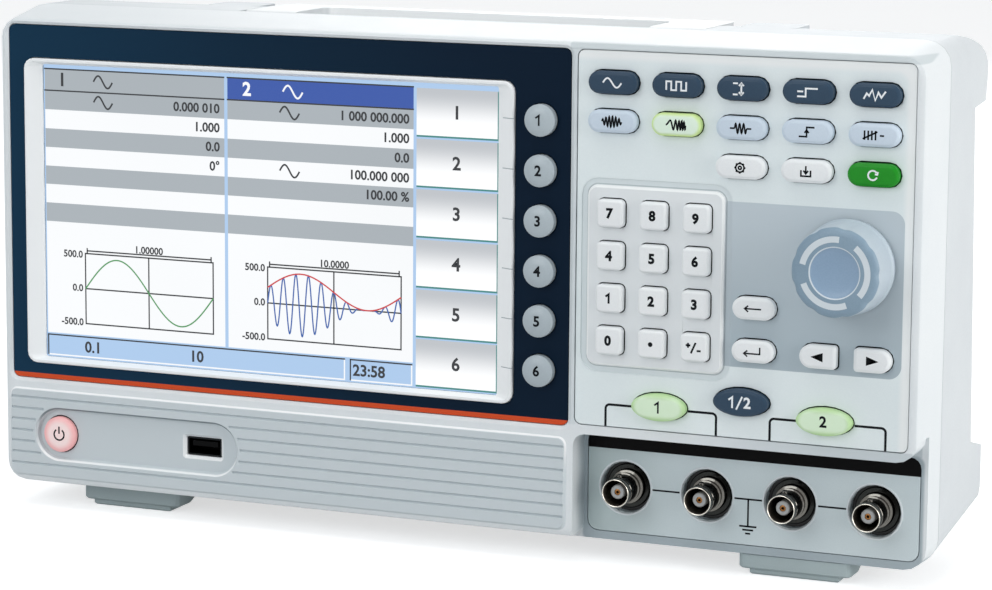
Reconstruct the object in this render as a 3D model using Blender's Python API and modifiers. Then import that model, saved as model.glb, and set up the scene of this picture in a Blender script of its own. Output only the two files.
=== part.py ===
"""Bench function generator: a two part moulded case with an 8 inch screen, a key field,
a knob, four coaxial outputs, a folding carry handle and two front feet.

Metres. X is right seen from the front, Y runs to the back and Z is up. The table is Z = 0.
Depths are counted from the flat front face, and the empty "instrument" holds that face.
"""
import math

import bmesh
import bpy

# Screen, its moulded frame and the dark panel round it
SCREEN_WIDTH = 0.174
SCREEN_HEIGHT = 0.1044
SCREEN_DEPTH = 0.0025
FRAME_SIDE = 0.0065
FRAME_TOP = 0.0024
FRAME_LIP = 0.0007
FRAME_PROUD = 0.0005
FRAME_RADIUS = 0.004
DISPLAY_LEFT = 0.006
DISPLAY_HEAD = 0.0113
DISPLAY_FOOT = 0.0054
DISPLAY_THICK = 0.0012
DISPLAY_INSET = 0.0009
DISPLAY_BEVEL = 0.0012
PANEL_RADIUS = 0.0022
MODULE_BORDER_SIDE = 0.0085
MODULE_BORDER_TOP = 0.0058
MODULE_THICK = 0.0062
MODULE_SEAT_BACK = 0.012
SCREEN_RADIUS = 0.0008

# Round soft keys in a column beside the screen
SOFT_KEYS = 6
SOFT_PITCH = 0.0168
SOFT_SIZE = 0.011
SOFT_OFFSET = 0.0094
SOFT_COLUMN = 0.0195

# Control panel with its rows of keys
COLUMNS = 5
COLUMN_PITCH = 0.0221
COLUMN_MARGIN = 0.0129
ROW_TOP = 0.0102
ROW_PITCH = 0.0127
PILL_WIDTH = 0.0171
PILL_HEIGHT = 0.0076
CONTROL_THICK = 0.0015
CONTROL_LEDGE = 0.002
KEYPAD_COLUMNS = 3
KEYPAD_ROWS = 4
KEYPAD_LEFT = 0.004
KEYPAD_DROP = 0.0175
KEYPAD_PITCH_X = 0.0149
KEYPAD_PITCH_Z = 0.0141
KEYPAD_MARGIN = 0.0089
KEYPAD_KEY = 0.0093
KEYPAD_RADIUS = 0.0016
SURROUND_RISE = 0.0012
SURROUND_RADIUS = 0.0035
MOAT_WIDTH = 0.0022
MOAT_DEPTH = 0.0004
ENTER_GAP = 0.0108
ENTER_WIDTH = 0.0146
ENTER_HEIGHT = 0.0075
ARROW_SPREAD = 0.0091
ARROW_WIDTH = 0.0125
ARROW_HEIGHT = 0.0079
ARROW_RADIUS = 0.0012
OUTPUT_DROP = 0.0212
OUTPUT_MARGIN = 0.0088
OVAL_SPREAD = 0.0283
OVAL_WIDTH = 0.0189
OVAL_HEIGHT = 0.0092
CHANNEL_RISE = 0.004

# How every key is made and moves
KEY_PROUD = 0.0024
KEY_EDGE = 0.0006
SMALL_RADIUS = 0.0004
KEY_CROWN = 0.0022
KEY_CROWN_RISE = 0.0003
KEY_TRAVEL = 0.001
FLANGE = 0.0008
SOFT_FLANGE = 0.0012
CLEAR = 0.0003

# Knob and the encoder that carries it
KNOB_RIGHT = 0.0208
KNOB_RISE = 0.0298
KNOB_RADIUS = 0.0155
KNOB_FACE_RADIUS = 0.0146
KNOB_HEIGHT = 0.016
KNOB_SKIRT = 0.0024
KNOB_EDGE = 0.001
KNOB_SCALLOPS = 9
KNOB_SCALLOP_DEPTH = 0.0004
DISH_RADIUS = 0.0082
DISH_DEPTH = 0.0012
SHAFT_RADIUS = 0.003
SHAFT_LENGTH = 0.011
BUSH_RADIUS = 0.0035
NECK_RADIUS = 0.002
ENCODER_SIZE = 0.012
ENCODER_FLOOR = 0.002

# Front housing
FACE_MARGIN = 0.00325
FACE_EDGE = 0.0016
FACE_RADIUS = 0.007
PANEL_GAP = 0.0028
PANEL_INSET = 0.0003
CONTROL_FOOT = 0.0011
HEAD_BAND = 0.0025
LOWER_BAND = 0.0378
FLARE_SIDE = 0.002
FLARE_TOP = 0.0035
FLARE_FOOT = 0.0022
FRONT_DEPTH = 0.0215
CASE_RADIUS = 0.0085
WALL = 0.0025
FACE_WALL = 0.0042

# Ribbed pad with its pocket, power button and USB socket
PAD_SIDE = 0.002
PAD_FOOT = 0.002
PAD_HEAD = 0.0037
PAD_RISE = 0.0008
PAD_RADIUS = 0.003
RIB_PITCH = 0.004
RIB_COUNT = 8
RIB_FIRST = 0.0035
GROOVE_WIDTH = 0.0012
GROOVE_DEPTH = 0.0008
GROOVE_STOP = 0.0015
POCKET_LEFT = 0.0111
POCKET_LENGTH = 0.0796
POCKET_HEIGHT = 0.018
POCKET_DEPTH = 0.0014
POCKET_LIP = 0.0008
POCKET_FILLET = 0.0005
POCKET_FILLET_RISE = 0.0008
POWER_SIZE = 0.013
POWER_PROUD = 0.0004
POWER_FLANGE = 0.0014
USB_FROM_RIGHT = 0.014
USB_WIDTH = 0.0131
USB_HEIGHT = 0.0062
USB_SHELL = 0.0004
USB_LENGTH = 0.0145
USB_MOUTH = 0.009
USB_TONGUE = 0.0018
USB_TONGUE_SIDE = 0.0012
USB_TONGUE_BACK = 0.0006
USB_CORNER = 0.0002
USB_RIM_RISE = 0.0002
USB_SURROUND = 0.0014

# Set-back output corner with its panel and sockets
STEP_DEPTH = 0.011
STEP_HEAD = 0.0023
STEP_RADIUS = 0.004
STEP_SWEEP = 0.007
STEP_SIDE = 0.0005
STEP_FOOT_RADIUS = 0.005
OUTPUT_BORDER = 0.0016
OUTPUT_FOOT = 0.003
OUTPUT_THICK = 0.001
OUTPUT_RADIUS = 0.0035
SOCKETS = 4
SOCKET_FIRST = 0.01335
SOCKET_PITCH = 0.0288
SOCKET_HEIGHT = 0.0162
SOCKET_HOLE = 0.0087
SOCKET_RIM = 0.0007
SOCKET_BLOCK = 0.0195
SOCKET_BLOCK_DEPTH = 0.008
COLLAR_RADIUS = 0.0058
COLLAR_LENGTH = 0.0015
BARREL_RADIUS = 0.00483
BARREL_BORE = 0.00405
BARREL_LENGTH = 0.0143
BARREL_EDGE = 0.0004
BORE_DEPTH = 0.0095
CORE_RADIUS = 0.0024
CORE_BACK = 0.0022
CONTACT_RADIUS = 0.0008
CONTACT_DEPTH = 0.004
LUG_RADIUS = 0.001
LUG_REACH = 0.0008
LUG_BACK = 0.0045

# Rear housing, drawn as a side profile
CASE_DEPTH = 0.083
REAR_DRAFT = 0.0016
TOP_FLAT = 0.040
TOP_BUMPER = 0.0745
TOP_FALL = 0.0145
TOP_BUMPER_HEIGHT = 0.0105
REAR_WALL_TOP = 0.057
REAR_WALL_FOOT = 0.065
LOWER_BUMPER_HEIGHT = 0.0288
LOWER_BUMPER_SLOPE = 0.004
BOTTOM_RISE = 0.006
REAR_CHAMFER = 0.002
REAR_CORNER = 0.006
VENT_COUNT = 12
VENT_PITCH = 0.006
VENT_WIDTH = 0.0025
VENT_HEIGHT = 0.038
VENT_X = -0.060
VENT_RISE = 0.0598

# Carry handle, folded into the top
HANDLE_WIDTH = 0.1696
ARM_WIDTH = 0.0195
HANDLE_FRONT = 0.0235
GRIP_FRONT = 0.051
GRIP_DEPTH = 0.0125
HANDLE_THICK = 0.0100
HANDLE_EDGE = 0.0022
PIN_RADIUS = 0.0025
PIN_LENGTH = 0.003
HANDLE_CLEAR = 0.0005
ARM_CORNER = 0.005
WELL_DEPTH = 0.0125
WELL_RADIUS = 0.008
WELL_WALL = 0.0025
SHOULDER_GAP = 0.005
SHOULDER_WIDTH = 0.020
SHOULDER_DEPTH = 0.018

# Feet
FOOT_HEIGHT = 0.0072
FOOT_WIDTH = 0.039
FOOT_EDGE = 0.046
FOOT_FRONT = 0.0115
FOOT_DEPTH = 0.022
FOOT_SLOPE = 0.0095
FOOT_PAD_HEIGHT = 0.002
FOOT_PAD_INSET = 0.004
FOOT_TOE = 0.0006
FOOT_RADIUS = 0.003
REAR_FOOT_DEPTH = 0.018
REAR_FOOT_INSET = 0.007

# Inside
BOARD_THICK = 0.0016
BOARD_EDGE = 0.002
KEY_BOARD_Y = 0.0065
POST_RADIUS = 0.003
MAIN_BOARD_WIDTH = 0.240
MAIN_BOARD_HEIGHT = 0.100
MAIN_BOARD_Y = 0.034
MAIN_BOARD_RISE = 0.0318
SHIELD_WIDTH = 0.090
SHIELD_HEIGHT = 0.060
SHIELD_DEPTH = 0.008
SUPPLY_WIDTH = 0.080
SUPPLY_HEIGHT = 0.075
SUPPLY_DEPTH = 0.014
SUPPLY_GAP = 0.00425
INLET_EDGE = 0.052
INLET_RISE = 0.0598
INLET_WIDTH = 0.048
INLET_HEIGHT = 0.0275
INLET_FLANGE = 0.003
INLET_RADIUS = 0.004
INLET_BODY_WIDTH = 0.0275
INLET_BODY_HEIGHT = 0.0200
INLET_BODY_DEPTH = 0.018
INLET_MOUTH_WIDTH = 0.0240
INLET_MOUTH_HEIGHT = 0.0160
INLET_MOUTH_DEPTH = 0.014
COUNTER_SPACING = 0.046
COUNTER_RISE = 0.0618

# How far a cutter runs past the plate that it cuts, and how far joined blocks reach into each other
THROUGH = 0.01
OVERLAP = 0.001

# Small corner radii of plates, cans and sockets
SMALL_CORNER = 0.001
FINE_CORNER = 0.0005
BOARD_CORNER = 0.002

# Smoothness of arcs
CORNER_STEPS = 4
KEY_STEPS = 3
ROUND_STEPS = 20
SOCKET_STEPS = 16
OVAL_STEPS = 20

# Places that follow from the sizes above
CASE_BOTTOM = FOOT_HEIGHT
FRAME_WIDTH = SCREEN_WIDTH + 2 * FRAME_SIDE
FRAME_HEIGHT = SCREEN_HEIGHT + 2 * FRAME_TOP
DISPLAY_WIDTH = DISPLAY_LEFT + FRAME_WIDTH + SOFT_COLUMN
CONTROL_WIDTH = 2 * COLUMN_MARGIN + (COLUMNS - 1) * COLUMN_PITCH
KEY_STACK = (ROW_TOP + 2 * ROW_PITCH + KEYPAD_DROP + (KEYPAD_ROWS - 1) * KEYPAD_PITCH_Z
             + OUTPUT_DROP + OUTPUT_MARGIN)
DISPLAY_STACK = DISPLAY_HEAD + FRAME_HEIGHT + DISPLAY_FOOT
PANEL_HEIGHT = max(KEY_STACK, DISPLAY_STACK)
FACE_WIDTH = 2 * FACE_MARGIN + DISPLAY_WIDTH + PANEL_GAP + CONTROL_WIDTH
FACE_HEIGHT = LOWER_BAND + PANEL_HEIGHT + HEAD_BAND
CASE_WIDTH = FACE_WIDTH + 2 * FLARE_SIDE
CASE_HEIGHT = FACE_HEIGHT + FLARE_TOP + FLARE_FOOT
CASE_TOP = CASE_BOTTOM + CASE_HEIGHT
FACE_BOTTOM = CASE_BOTTOM + FLARE_FOOT
FACE_TOP = FACE_BOTTOM + FACE_HEIGHT
PANEL_BOTTOM = FACE_BOTTOM + LOWER_BAND
PANEL_TOP = PANEL_BOTTOM + PANEL_HEIGHT
CONTROL_BOTTOM = PANEL_BOTTOM + CONTROL_FOOT
DISPLAY_X = -FACE_WIDTH / 2 + FACE_MARGIN
DISPLAY_END = DISPLAY_X + DISPLAY_WIDTH
CONTROL_X = DISPLAY_END + PANEL_GAP
CONTROL_END = CONTROL_X + CONTROL_WIDTH
FRAME_X = DISPLAY_X + DISPLAY_LEFT
FRAME_END = FRAME_X + FRAME_WIDTH
SCREEN_X = FRAME_X + FRAME_WIDTH / 2
SCREEN_Z = PANEL_BOTTOM + DISPLAY_FOOT + FRAME_HEIGHT / 2
SOFT_X = FRAME_END + SOFT_OFFSET
KEYPAD_X = CONTROL_X + KEYPAD_LEFT + KEYPAD_MARGIN
KEYPAD_END = KEYPAD_X + (KEYPAD_COLUMNS - 1) * KEYPAD_PITCH_X + KEYPAD_MARGIN
KEYPAD_Z = PANEL_TOP - ROW_TOP - 2 * ROW_PITCH - KEYPAD_DROP
KEYPAD_FOOT_Z = KEYPAD_Z - (KEYPAD_ROWS - 1) * KEYPAD_PITCH_Z
KNOB_X = CONTROL_END - KNOB_RIGHT
KNOB_Z = KEYPAD_FOOT_Z + KNOB_RISE
PAD_X = -FACE_WIDTH / 2 + PAD_SIDE
PAD_BOTTOM = FACE_BOTTOM + PAD_FOOT
PAD_TOP = PANEL_BOTTOM - PAD_HEAD
POCKET_X = PAD_X + POCKET_LEFT
POCKET_END = POCKET_X + POCKET_LENGTH
POCKET_Z = (PAD_BOTTOM + PAD_TOP) / 2
POWER_X = POCKET_X + POCKET_HEIGHT / 2
USB_X = POCKET_END - USB_FROM_RIGHT
STEP_TOP = PANEL_BOTTOM - STEP_HEAD
STEP_X = CONTROL_X - STEP_SIDE
OUTPUT_X = STEP_X + OUTPUT_BORDER
OUTPUT_END = FACE_WIDTH / 2 - OUTPUT_BORDER
OUTPUT_BOTTOM = CASE_BOTTOM + OUTPUT_FOOT
OUTPUT_TOP = STEP_TOP - CLEAR
OUTPUT_MIDDLE = (OUTPUT_X + OUTPUT_END) / 2
OUTPUT_BACK = STEP_DEPTH + OUTPUT_THICK + CLEAR
SOCKET_Z = FACE_BOTTOM + SOCKET_HEIGHT
SOCKET_SEAT = OUTPUT_BACK + WALL + CLEAR
SOCKET_XS = [OUTPUT_X + SOCKET_FIRST + i * SOCKET_PITCH for i in range(SOCKETS)]
OVAL_Z = KEYPAD_FOOT_Z - OUTPUT_DROP
CONTROL_BACK = PANEL_INSET + CONTROL_THICK
DISPLAY_BACK = DISPLAY_INSET + DISPLAY_THICK
KEY_BACK = KEY_BOARD_Y - KEY_TRAVEL - CLEAR
REAR_START = FRONT_DEPTH + CLEAR
PIN_Y = HANDLE_FRONT + HANDLE_THICK / 2
PIN_Z = CASE_TOP - HANDLE_THICK / 2
GRIP_BACK = GRIP_FRONT + GRIP_DEPTH
WELL_FLOOR = CASE_TOP - WELL_DEPTH
FOOT_X = CASE_WIDTH / 2 - FOOT_EDGE
INLET_X = CASE_WIDTH / 2 - INLET_EDGE
COUNTER_X = INLET_X - COUNTER_SPACING


def clear_scene():
    """Start from an empty scene."""
    for old in list(bpy.data.objects):
        bpy.data.objects.remove(old, do_unlink=True)


def collection(name):
    """A collection of the scene."""
    made = bpy.data.collections.new(name)
    bpy.context.scene.collection.children.link(made)
    return made


def material(name, colour, roughness, metallic=0.0):
    """A Principled material of one finish."""
    made = bpy.data.materials.new(name)
    made.use_nodes = True
    shader = made.node_tree.nodes["Principled BSDF"]
    shader.inputs["Base Color"].default_value = (*colour, 1.0)
    shader.inputs["Roughness"].default_value = roughness
    shader.inputs["Metallic"].default_value = metallic
    return made


clear_scene()
PARTS = collection("function_generator")
CUTTERS = collection("cutters")
instrument = bpy.data.objects.new("instrument", None)
PARTS.objects.link(instrument)
instrument.location = (0.0, (KNOB_HEIGHT - CASE_DEPTH) / 2, 0.0)


def add(name, mesh, finish, place=(0.0, 0.0, 0.0), turn=(0.0, 0.0, 0.0)):
    """A finished piece: its mesh, its material and its place in the instrument."""
    made = bpy.data.objects.new(name, mesh)
    made.parent = instrument
    made.location = place
    made.rotation_euler = turn
    mesh.materials.clear()
    mesh.materials.append(finish)
    mesh.shade_smooth()
    mesh.set_sharp_from_angle(angle=math.radians(32))
    PARTS.objects.link(made)
    return made


def cutter(name, mesh, place=(0.0, 0.0, 0.0), turn=(0.0, 0.0, 0.0), group=None, parent=instrument):
    """A shape that is cut out of a piece or joined to it."""
    made = bpy.data.objects.new(name, mesh)
    made.parent = parent
    made.location = place
    made.rotation_euler = turn
    made.hide_render = True
    made.display_type = "WIRE"
    (group or CUTTERS).objects.link(made)
    return made


def cutter_group(name):
    """A set of cutters that one Boolean uses together."""
    made = bpy.data.collections.new(name)
    CUTTERS.children.link(made)
    return made


def boolean(piece, other, operation="DIFFERENCE"):
    """Cut a piece by, or join it to, one object or a whole group of them."""
    step = piece.modifiers.new("boolean", "BOOLEAN")
    step.operation = operation
    step.solver = "EXACT"
    if isinstance(other, bpy.types.Collection):
        step.operand_type = "COLLECTION"
        step.collection = other
    else:
        step.object = other
    return step


def outline(width, height, radius, centre=(0.0, 0.0), steps=CORNER_STEPS):
    """Rounded rectangle of (x, z) points, anticlockwise from the lower left.
    The radius is one number, or four for the corners in that order."""
    radii = radius if isinstance(radius, tuple) else (radius,) * 4
    corners = ((-1, -1, 2), (1, -1, 3), (1, 1, 0), (-1, 1, 1))
    points = []
    for (side, up, quarter), corner in zip(corners, radii):
        corner = min(corner, width / 2, height / 2)
        x = centre[0] + side * (width / 2 - corner)
        z = centre[1] + up * (height / 2 - corner)
        for i in range(steps + 1):
            angle = math.pi / 2 * (quarter + i / steps)
            point = (x + corner * math.cos(angle), z + corner * math.sin(angle))
            if not points or math.dist(point, points[-1]) > 1e-7:
                points.append(point)
    if math.dist(points[0], points[-1]) < 1e-7:
        points.pop()
    return points


def oval(width, height, steps=OVAL_STEPS):
    """Points round an upright oval."""
    return [(width / 2 * math.cos(2 * math.pi * i / steps), height / 2 * math.sin(2 * math.pi * i / steps))
            for i in range(steps)]


def box_outline(left, right, bottom, top, radius, steps=CORNER_STEPS):
    """Rounded rectangle between two sides, a bottom and a top."""
    centre = ((left + right) / 2, (bottom + top) / 2)
    return outline(right - left, top - bottom, radius, centre, steps)


def circle(radius, centre=(0.0, 0.0), steps=ROUND_STEPS):
    """Points round a circle."""
    return [(centre[0] + radius * math.cos(2 * math.pi * i / steps),
             centre[1] + radius * math.sin(2 * math.pi * i / steps)) for i in range(steps)]


def loft(name, sections, upright=False):
    """A closed solid: the first outline is extruded and moved to each next outline.
    A section is (points, level), and every section has as many points as the first.
    The levels are depths, or heights where the solid is upright."""
    def corner(a, b, level):
        return (a, b, level) if upright else (a, level, b)

    shape = bmesh.new()
    points, level = sections[0]
    ring = [shape.verts.new(corner(*point, level)) for point in points]
    face = shape.faces.new(ring)
    for number, (points, level) in enumerate(sections[1:]):
        below = face
        made = bmesh.ops.extrude_face_region(shape, geom=[below])["geom"]
        face = next(item for item in made if isinstance(item, bmesh.types.BMFace))
        if number > 0:
            bmesh.ops.delete(shape, geom=[below], context="FACES_ONLY")
        lifted = {tuple(vertex.co): vertex for vertex in face.verts}
        ring = [lifted[tuple(vertex.co)] for vertex in ring]
        for vertex, point in zip(ring, points):
            vertex.co = corner(*point, level)
    bmesh.ops.recalc_face_normals(shape, faces=shape.faces)
    mesh = bpy.data.meshes.new(name)
    shape.to_mesh(mesh)
    shape.free()
    return mesh


def prism(name, points, start, end):
    """An outline extruded from one depth to another."""
    return loft(name, [(points, start), (points, end)])


def extruded(name, corners, move):
    """A flat face of (x, y, z) corners extruded by a straight move."""
    shape = bmesh.new()
    face = shape.faces.new([shape.verts.new(corner) for corner in corners])
    made = bmesh.ops.extrude_face_region(shape, geom=[face])["geom"]
    far = [item for item in made if isinstance(item, bmesh.types.BMVert)]
    bmesh.ops.translate(shape, verts=far, vec=move)
    bmesh.ops.recalc_face_normals(shape, faces=shape.faces)
    mesh = bpy.data.meshes.new(name)
    shape.to_mesh(mesh)
    shape.free()
    return mesh


def side_prism(name, profile, left, right):
    """A side profile of (y, z) points extruded across the case."""
    return extruded(name, [(left, y, z) for y, z in profile], (right - left, 0.0, 0.0))


def plan_prism(name, plan, bottom, top):
    """A plan of (x, y) points extruded upwards."""
    return extruded(name, [(x, y, bottom) for x, y in plan], (0.0, 0.0, top - bottom))


def turned(name, profile):
    """A profile of (radius, height) points, outer side first and downwards, for a Screw."""
    mesh = bpy.data.meshes.new(name)
    edges = [(i, i + 1) for i in range(len(profile) - 1)]
    mesh.from_pydata([(r, 0.0, h) for r, h in profile], edges, [])
    return mesh


def spin(piece, steps=ROUND_STEPS):
    """Turn a piece's profile round its own Z axis."""
    step = piece.modifiers.new("turned", "SCREW")
    step.axis = "Z"
    step.steps = steps
    step.render_steps = steps
    step.use_merge_vertices = True
    step.merge_threshold = 0.00001
    step.use_smooth_shade = True
    return step


FACE_FORWARD = (math.pi / 2, 0.0, 0.0)
UPRIGHT = (math.pi / 2, 0.0, 0.0)

# Finishes
shell_white = material("shell_white", (0.86, 0.88, 0.87), 0.45)
rear_grey = material("rear_grey", (0.78, 0.81, 0.82), 0.5)
navy = material("navy_panel", (0.010, 0.020, 0.036), 0.3)
panel_grey = material("control_panel_grey", (0.60, 0.66, 0.68), 0.5)
output_grey = material("output_panel_grey", (0.48, 0.55, 0.57), 0.5)
screen_glass = material("screen_glass", (0.55, 0.65, 0.75), 0.15)
board_green = material("board_green", (0.02, 0.16, 0.07), 0.5)
nickel = material("nickel", (0.70, 0.69, 0.66), 0.25, 1.0)
socket_steel = material("socket_steel", (0.55, 0.55, 0.55), 0.35, 1.0)
black_plastic = material("black_plastic", (0.02, 0.02, 0.022), 0.5)
foot_grey = material("foot_grey", (0.20, 0.25, 0.26), 0.7)
handle_white = material("handle_white", (0.84, 0.86, 0.86), 0.5)
key_dark = material("key_dark", (0.034, 0.065, 0.107), 0.45)
key_pale_blue = material("key_pale_blue", (0.55, 0.66, 0.76), 0.45)
key_white = material("key_white", (0.85, 0.87, 0.88), 0.45)
key_green = material("key_green", (0.021, 0.30, 0.021), 0.45)
key_lit_green = material("key_lit_green", (0.61, 0.78, 0.40), 0.45)
key_grey = material("key_soft_grey", (0.35, 0.41, 0.45), 0.5)
power_pink = material("power_pink", (0.83, 0.38, 0.38), 0.4)
knob_blue_grey = material("knob_blue_grey", (0.35, 0.45, 0.55), 0.5)


def key_outline(width, height, radius, grow, steps=KEY_STEPS):
    """A key's outline grown by an amount: a rounded rectangle, or an oval where the radius is None."""
    wide = width + 2 * grow
    high = height + 2 * grow
    if radius is None:
        return oval(wide, high)
    radii = radius if isinstance(radius, tuple) else (radius,) * 4
    most = min(wide, high) / 2
    return outline(wide, high, tuple(min(max(r + grow, SMALL_RADIUS), most) for r in radii), steps=steps)


def key_sections(width, height, radius, back, flange_front, proud, flange=FLANGE, steps=KEY_STEPS):
    """A key grown forwards: flange behind the panel, cap through its hole, rounded edge, crown."""
    crown = min(KEY_CROWN, 0.4 * min(width, height))
    rows = (
        (flange, back),
        (flange, flange_front),
        (0.0, flange_front),
        (0.0, -proud + KEY_EDGE),
        (-KEY_EDGE, -proud),
        (-crown, -proud - KEY_CROWN_RISE),
    )
    return [(key_outline(width, height, radius, grow, steps), y) for grow, y in rows]


key_holes = cutter_group("control_panel_holes")


def panel_key(name, x, z, width, height, radius, finish, proud=KEY_PROUD):
    """A key of the control panel and the hole that it passes through."""
    front = CONTROL_BACK + CLEAR
    mesh = loft(name, key_sections(width, height, radius, KEY_BACK, front, proud))
    add(name, mesh, finish, (x, 0.0, z))
    hole = prism(name + "_hole", key_outline(width, height, radius, CLEAR), -THROUGH, THROUGH)
    cutter(name + "_hole", hole, (x, 0.0, z), group=key_holes)


def column_x(column):
    """Centre of a key column."""
    return CONTROL_X + COLUMN_MARGIN + column * COLUMN_PITCH


def row_z(row):
    """Centre of a key row, counted from the top."""
    return PANEL_TOP - ROW_TOP - row * ROW_PITCH


def keypad_z(row):
    """Centre of a keypad row, counted from the top."""
    return KEYPAD_Z - row * KEYPAD_PITCH_Z


# Rows of function keys
rows = (
    (0, 0, key_dark, ("key_waveform", "key_frequency", "key_amplitude", "key_offset", "key_arb")),
    (1, 0, key_pale_blue,
     ("key_modulation", "key_sweep", "key_burst", "key_trigger", "key_counter")),
    (2, 2, key_white, ("key_utility", "key_recall", "key_preset")),
)
special = {"key_sweep": key_lit_green, "key_preset": key_green}
for row, first, finish, names in rows:
    for i, key_name in enumerate(names):
        panel_key(key_name, column_x(first + i), row_z(row), PILL_WIDTH, PILL_HEIGHT,
                  PILL_HEIGHT / 2, special.get(key_name, finish))

# Keypad
keypad = ("7", "8", "9", "4", "5", "6", "1", "2", "3", "0", "point", "sign")
for i, digit in enumerate(keypad):
    panel_key("key_" + digit, KEYPAD_X + i % KEYPAD_COLUMNS * KEYPAD_PITCH_X,
              keypad_z(i // KEYPAD_COLUMNS), KEYPAD_KEY, KEYPAD_KEY, KEYPAD_RADIUS, key_white,
              KEY_PROUD + SURROUND_RISE)

# Keys beside the keypad, and the arrow keys with their round ends outwards
enter_x = KEYPAD_END + ENTER_GAP
panel_key("key_backspace", enter_x, keypad_z(2), ENTER_WIDTH, ENTER_HEIGHT, ENTER_HEIGHT / 2, key_white)
panel_key("key_enter", enter_x, keypad_z(3), ENTER_WIDTH, ENTER_HEIGHT, ENTER_HEIGHT / 2, key_white)
arrow_round = ARROW_HEIGHT / 2
panel_key("key_arrow_left", KNOB_X - ARROW_SPREAD, keypad_z(3), ARROW_WIDTH, ARROW_HEIGHT,
          (arrow_round, ARROW_RADIUS, ARROW_RADIUS, arrow_round), key_white)
panel_key("key_arrow_right", KNOB_X + ARROW_SPREAD, keypad_z(3), ARROW_WIDTH, ARROW_HEIGHT,
          (ARROW_RADIUS, arrow_round, arrow_round, ARROW_RADIUS), key_white)

# Output keys over the middle of each pair of sockets, and the channel key between them
for key_name, key_x, key_z, finish in (("key_output_1", OUTPUT_MIDDLE - OVAL_SPREAD, OVAL_Z, key_lit_green),
                                       ("key_channel", OUTPUT_MIDDLE, OVAL_Z + CHANNEL_RISE, key_dark),
                                       ("key_output_2", OUTPUT_MIDDLE + OVAL_SPREAD, OVAL_Z, key_lit_green)):
    panel_key(key_name, key_x, key_z, OVAL_WIDTH, OVAL_HEIGHT, None, finish)

# Soft keys pass through the display panel and the face behind it
face_holes = cutter_group("front_housing_holes")
display_holes = cutter_group("display_panel_holes")
soft_round = SOFT_SIZE / 2
for i in range(SOFT_KEYS):
    soft_z = SCREEN_Z + ((SOFT_KEYS - 1) / 2 - i) * SOFT_PITCH
    soft_name = "key_f%d" % (i + 1)
    mesh = loft(soft_name, key_sections(SOFT_SIZE, SOFT_SIZE, soft_round, KEY_BACK,
                                        FACE_WALL + CLEAR, KEY_PROUD, SOFT_FLANGE))
    add(soft_name, mesh, key_grey, (SOFT_X, 0.0, soft_z))
    hole = prism(soft_name + "_hole", outline(SOFT_SIZE + 2 * CLEAR, SOFT_SIZE + 2 * CLEAR,
                                              soft_round + CLEAR, steps=KEY_STEPS), -THROUGH, THROUGH)
    cutter(soft_name + "_hole", hole, (SOFT_X, 0.0, soft_z), group=face_holes)
    cutter(soft_name + "_panel_hole", hole, (SOFT_X, 0.0, soft_z), group=display_holes)

# Knob: scalloped body on a round skirt, face with a finger dish, blind bore for the shaft
def scalloped(radius, depth):
    """A circle whose edge has shallow scallops."""
    count = 6 * KNOB_SCALLOPS
    points = []
    for i in range(count):
        angle = 2 * math.pi * i / count
        reach = radius - depth * max(0.0, math.cos(KNOB_SCALLOPS * angle)) ** 2
        points.append((reach * math.cos(angle), reach * math.sin(angle)))
    return points


knob_rows = (
    (KNOB_RADIUS, 0.0, -2 * CLEAR),
    (KNOB_RADIUS, 0.0, -KNOB_SKIRT),
    (KNOB_RADIUS - KNOB_EDGE / 2, 0.0, -KNOB_SKIRT - KNOB_EDGE / 2),
    (KNOB_FACE_RADIUS, KNOB_SCALLOP_DEPTH, -KNOB_HEIGHT + KNOB_EDGE),
    (KNOB_FACE_RADIUS - KNOB_EDGE, KNOB_SCALLOP_DEPTH, -KNOB_HEIGHT),
    (DISH_RADIUS, 0.0, -KNOB_HEIGHT),
    (DISH_RADIUS * 0.8, 0.0, -KNOB_HEIGHT + DISH_DEPTH * 0.65),
    (DISH_RADIUS * 0.4, 0.0, -KNOB_HEIGHT + DISH_DEPTH),
)
knob_mesh = loft("knob", [(scalloped(radius, depth), y) for radius, depth, y in knob_rows])
knob = add("knob", knob_mesh, knob_blue_grey, (KNOB_X, 0.0, KNOB_Z))
bore_mesh = prism("knob_bore", circle(SHAFT_RADIUS + CLEAR), -SHAFT_LENGTH - CLEAR, THROUGH)
boolean(knob, cutter("knob_bore", bore_mesh, (KNOB_X, 0.0, KNOB_Z)))

# Encoder on the key board: square body and a bush through the panel, bored for the shaft
encoder_front = CONTROL_BACK + CLEAR
body = prism("rotary_encoder", outline(ENCODER_SIZE, ENCODER_SIZE, FINE_CORNER, steps=1),
             encoder_front, KEY_BOARD_Y - CLEAR)
encoder = add("rotary_encoder", body, socket_steel, (KNOB_X, 0.0, KNOB_Z))
bush = prism("encoder_bush", circle(BUSH_RADIUS), encoder_front + CLEAR, 0.0)
boolean(encoder, cutter("encoder_bush", bush, (KNOB_X, 0.0, KNOB_Z)), "UNION")
neck_end = KEY_BOARD_Y - ENCODER_FLOOR
shaft_bore = prism("shaft_bore", circle(NECK_RADIUS + CLEAR), neck_end + CLEAR, -THROUGH)
boolean(encoder, cutter("shaft_bore", shaft_bore, (KNOB_X, 0.0, KNOB_Z)))
shaft = loft("encoder_shaft", [
    (circle(NECK_RADIUS), neck_end),
    (circle(NECK_RADIUS), -CLEAR),
    (circle(SHAFT_RADIUS), -CLEAR),
    (circle(SHAFT_RADIUS), -SHAFT_LENGTH),
])
add("encoder_shaft", shaft, socket_steel, (KNOB_X, 0.0, KNOB_Z))
cutter("encoder_hole", prism("encoder_hole", circle(BUSH_RADIUS + CLEAR), -THROUGH, THROUGH),
       (KNOB_X, 0.0, KNOB_Z), group=key_holes)

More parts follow.
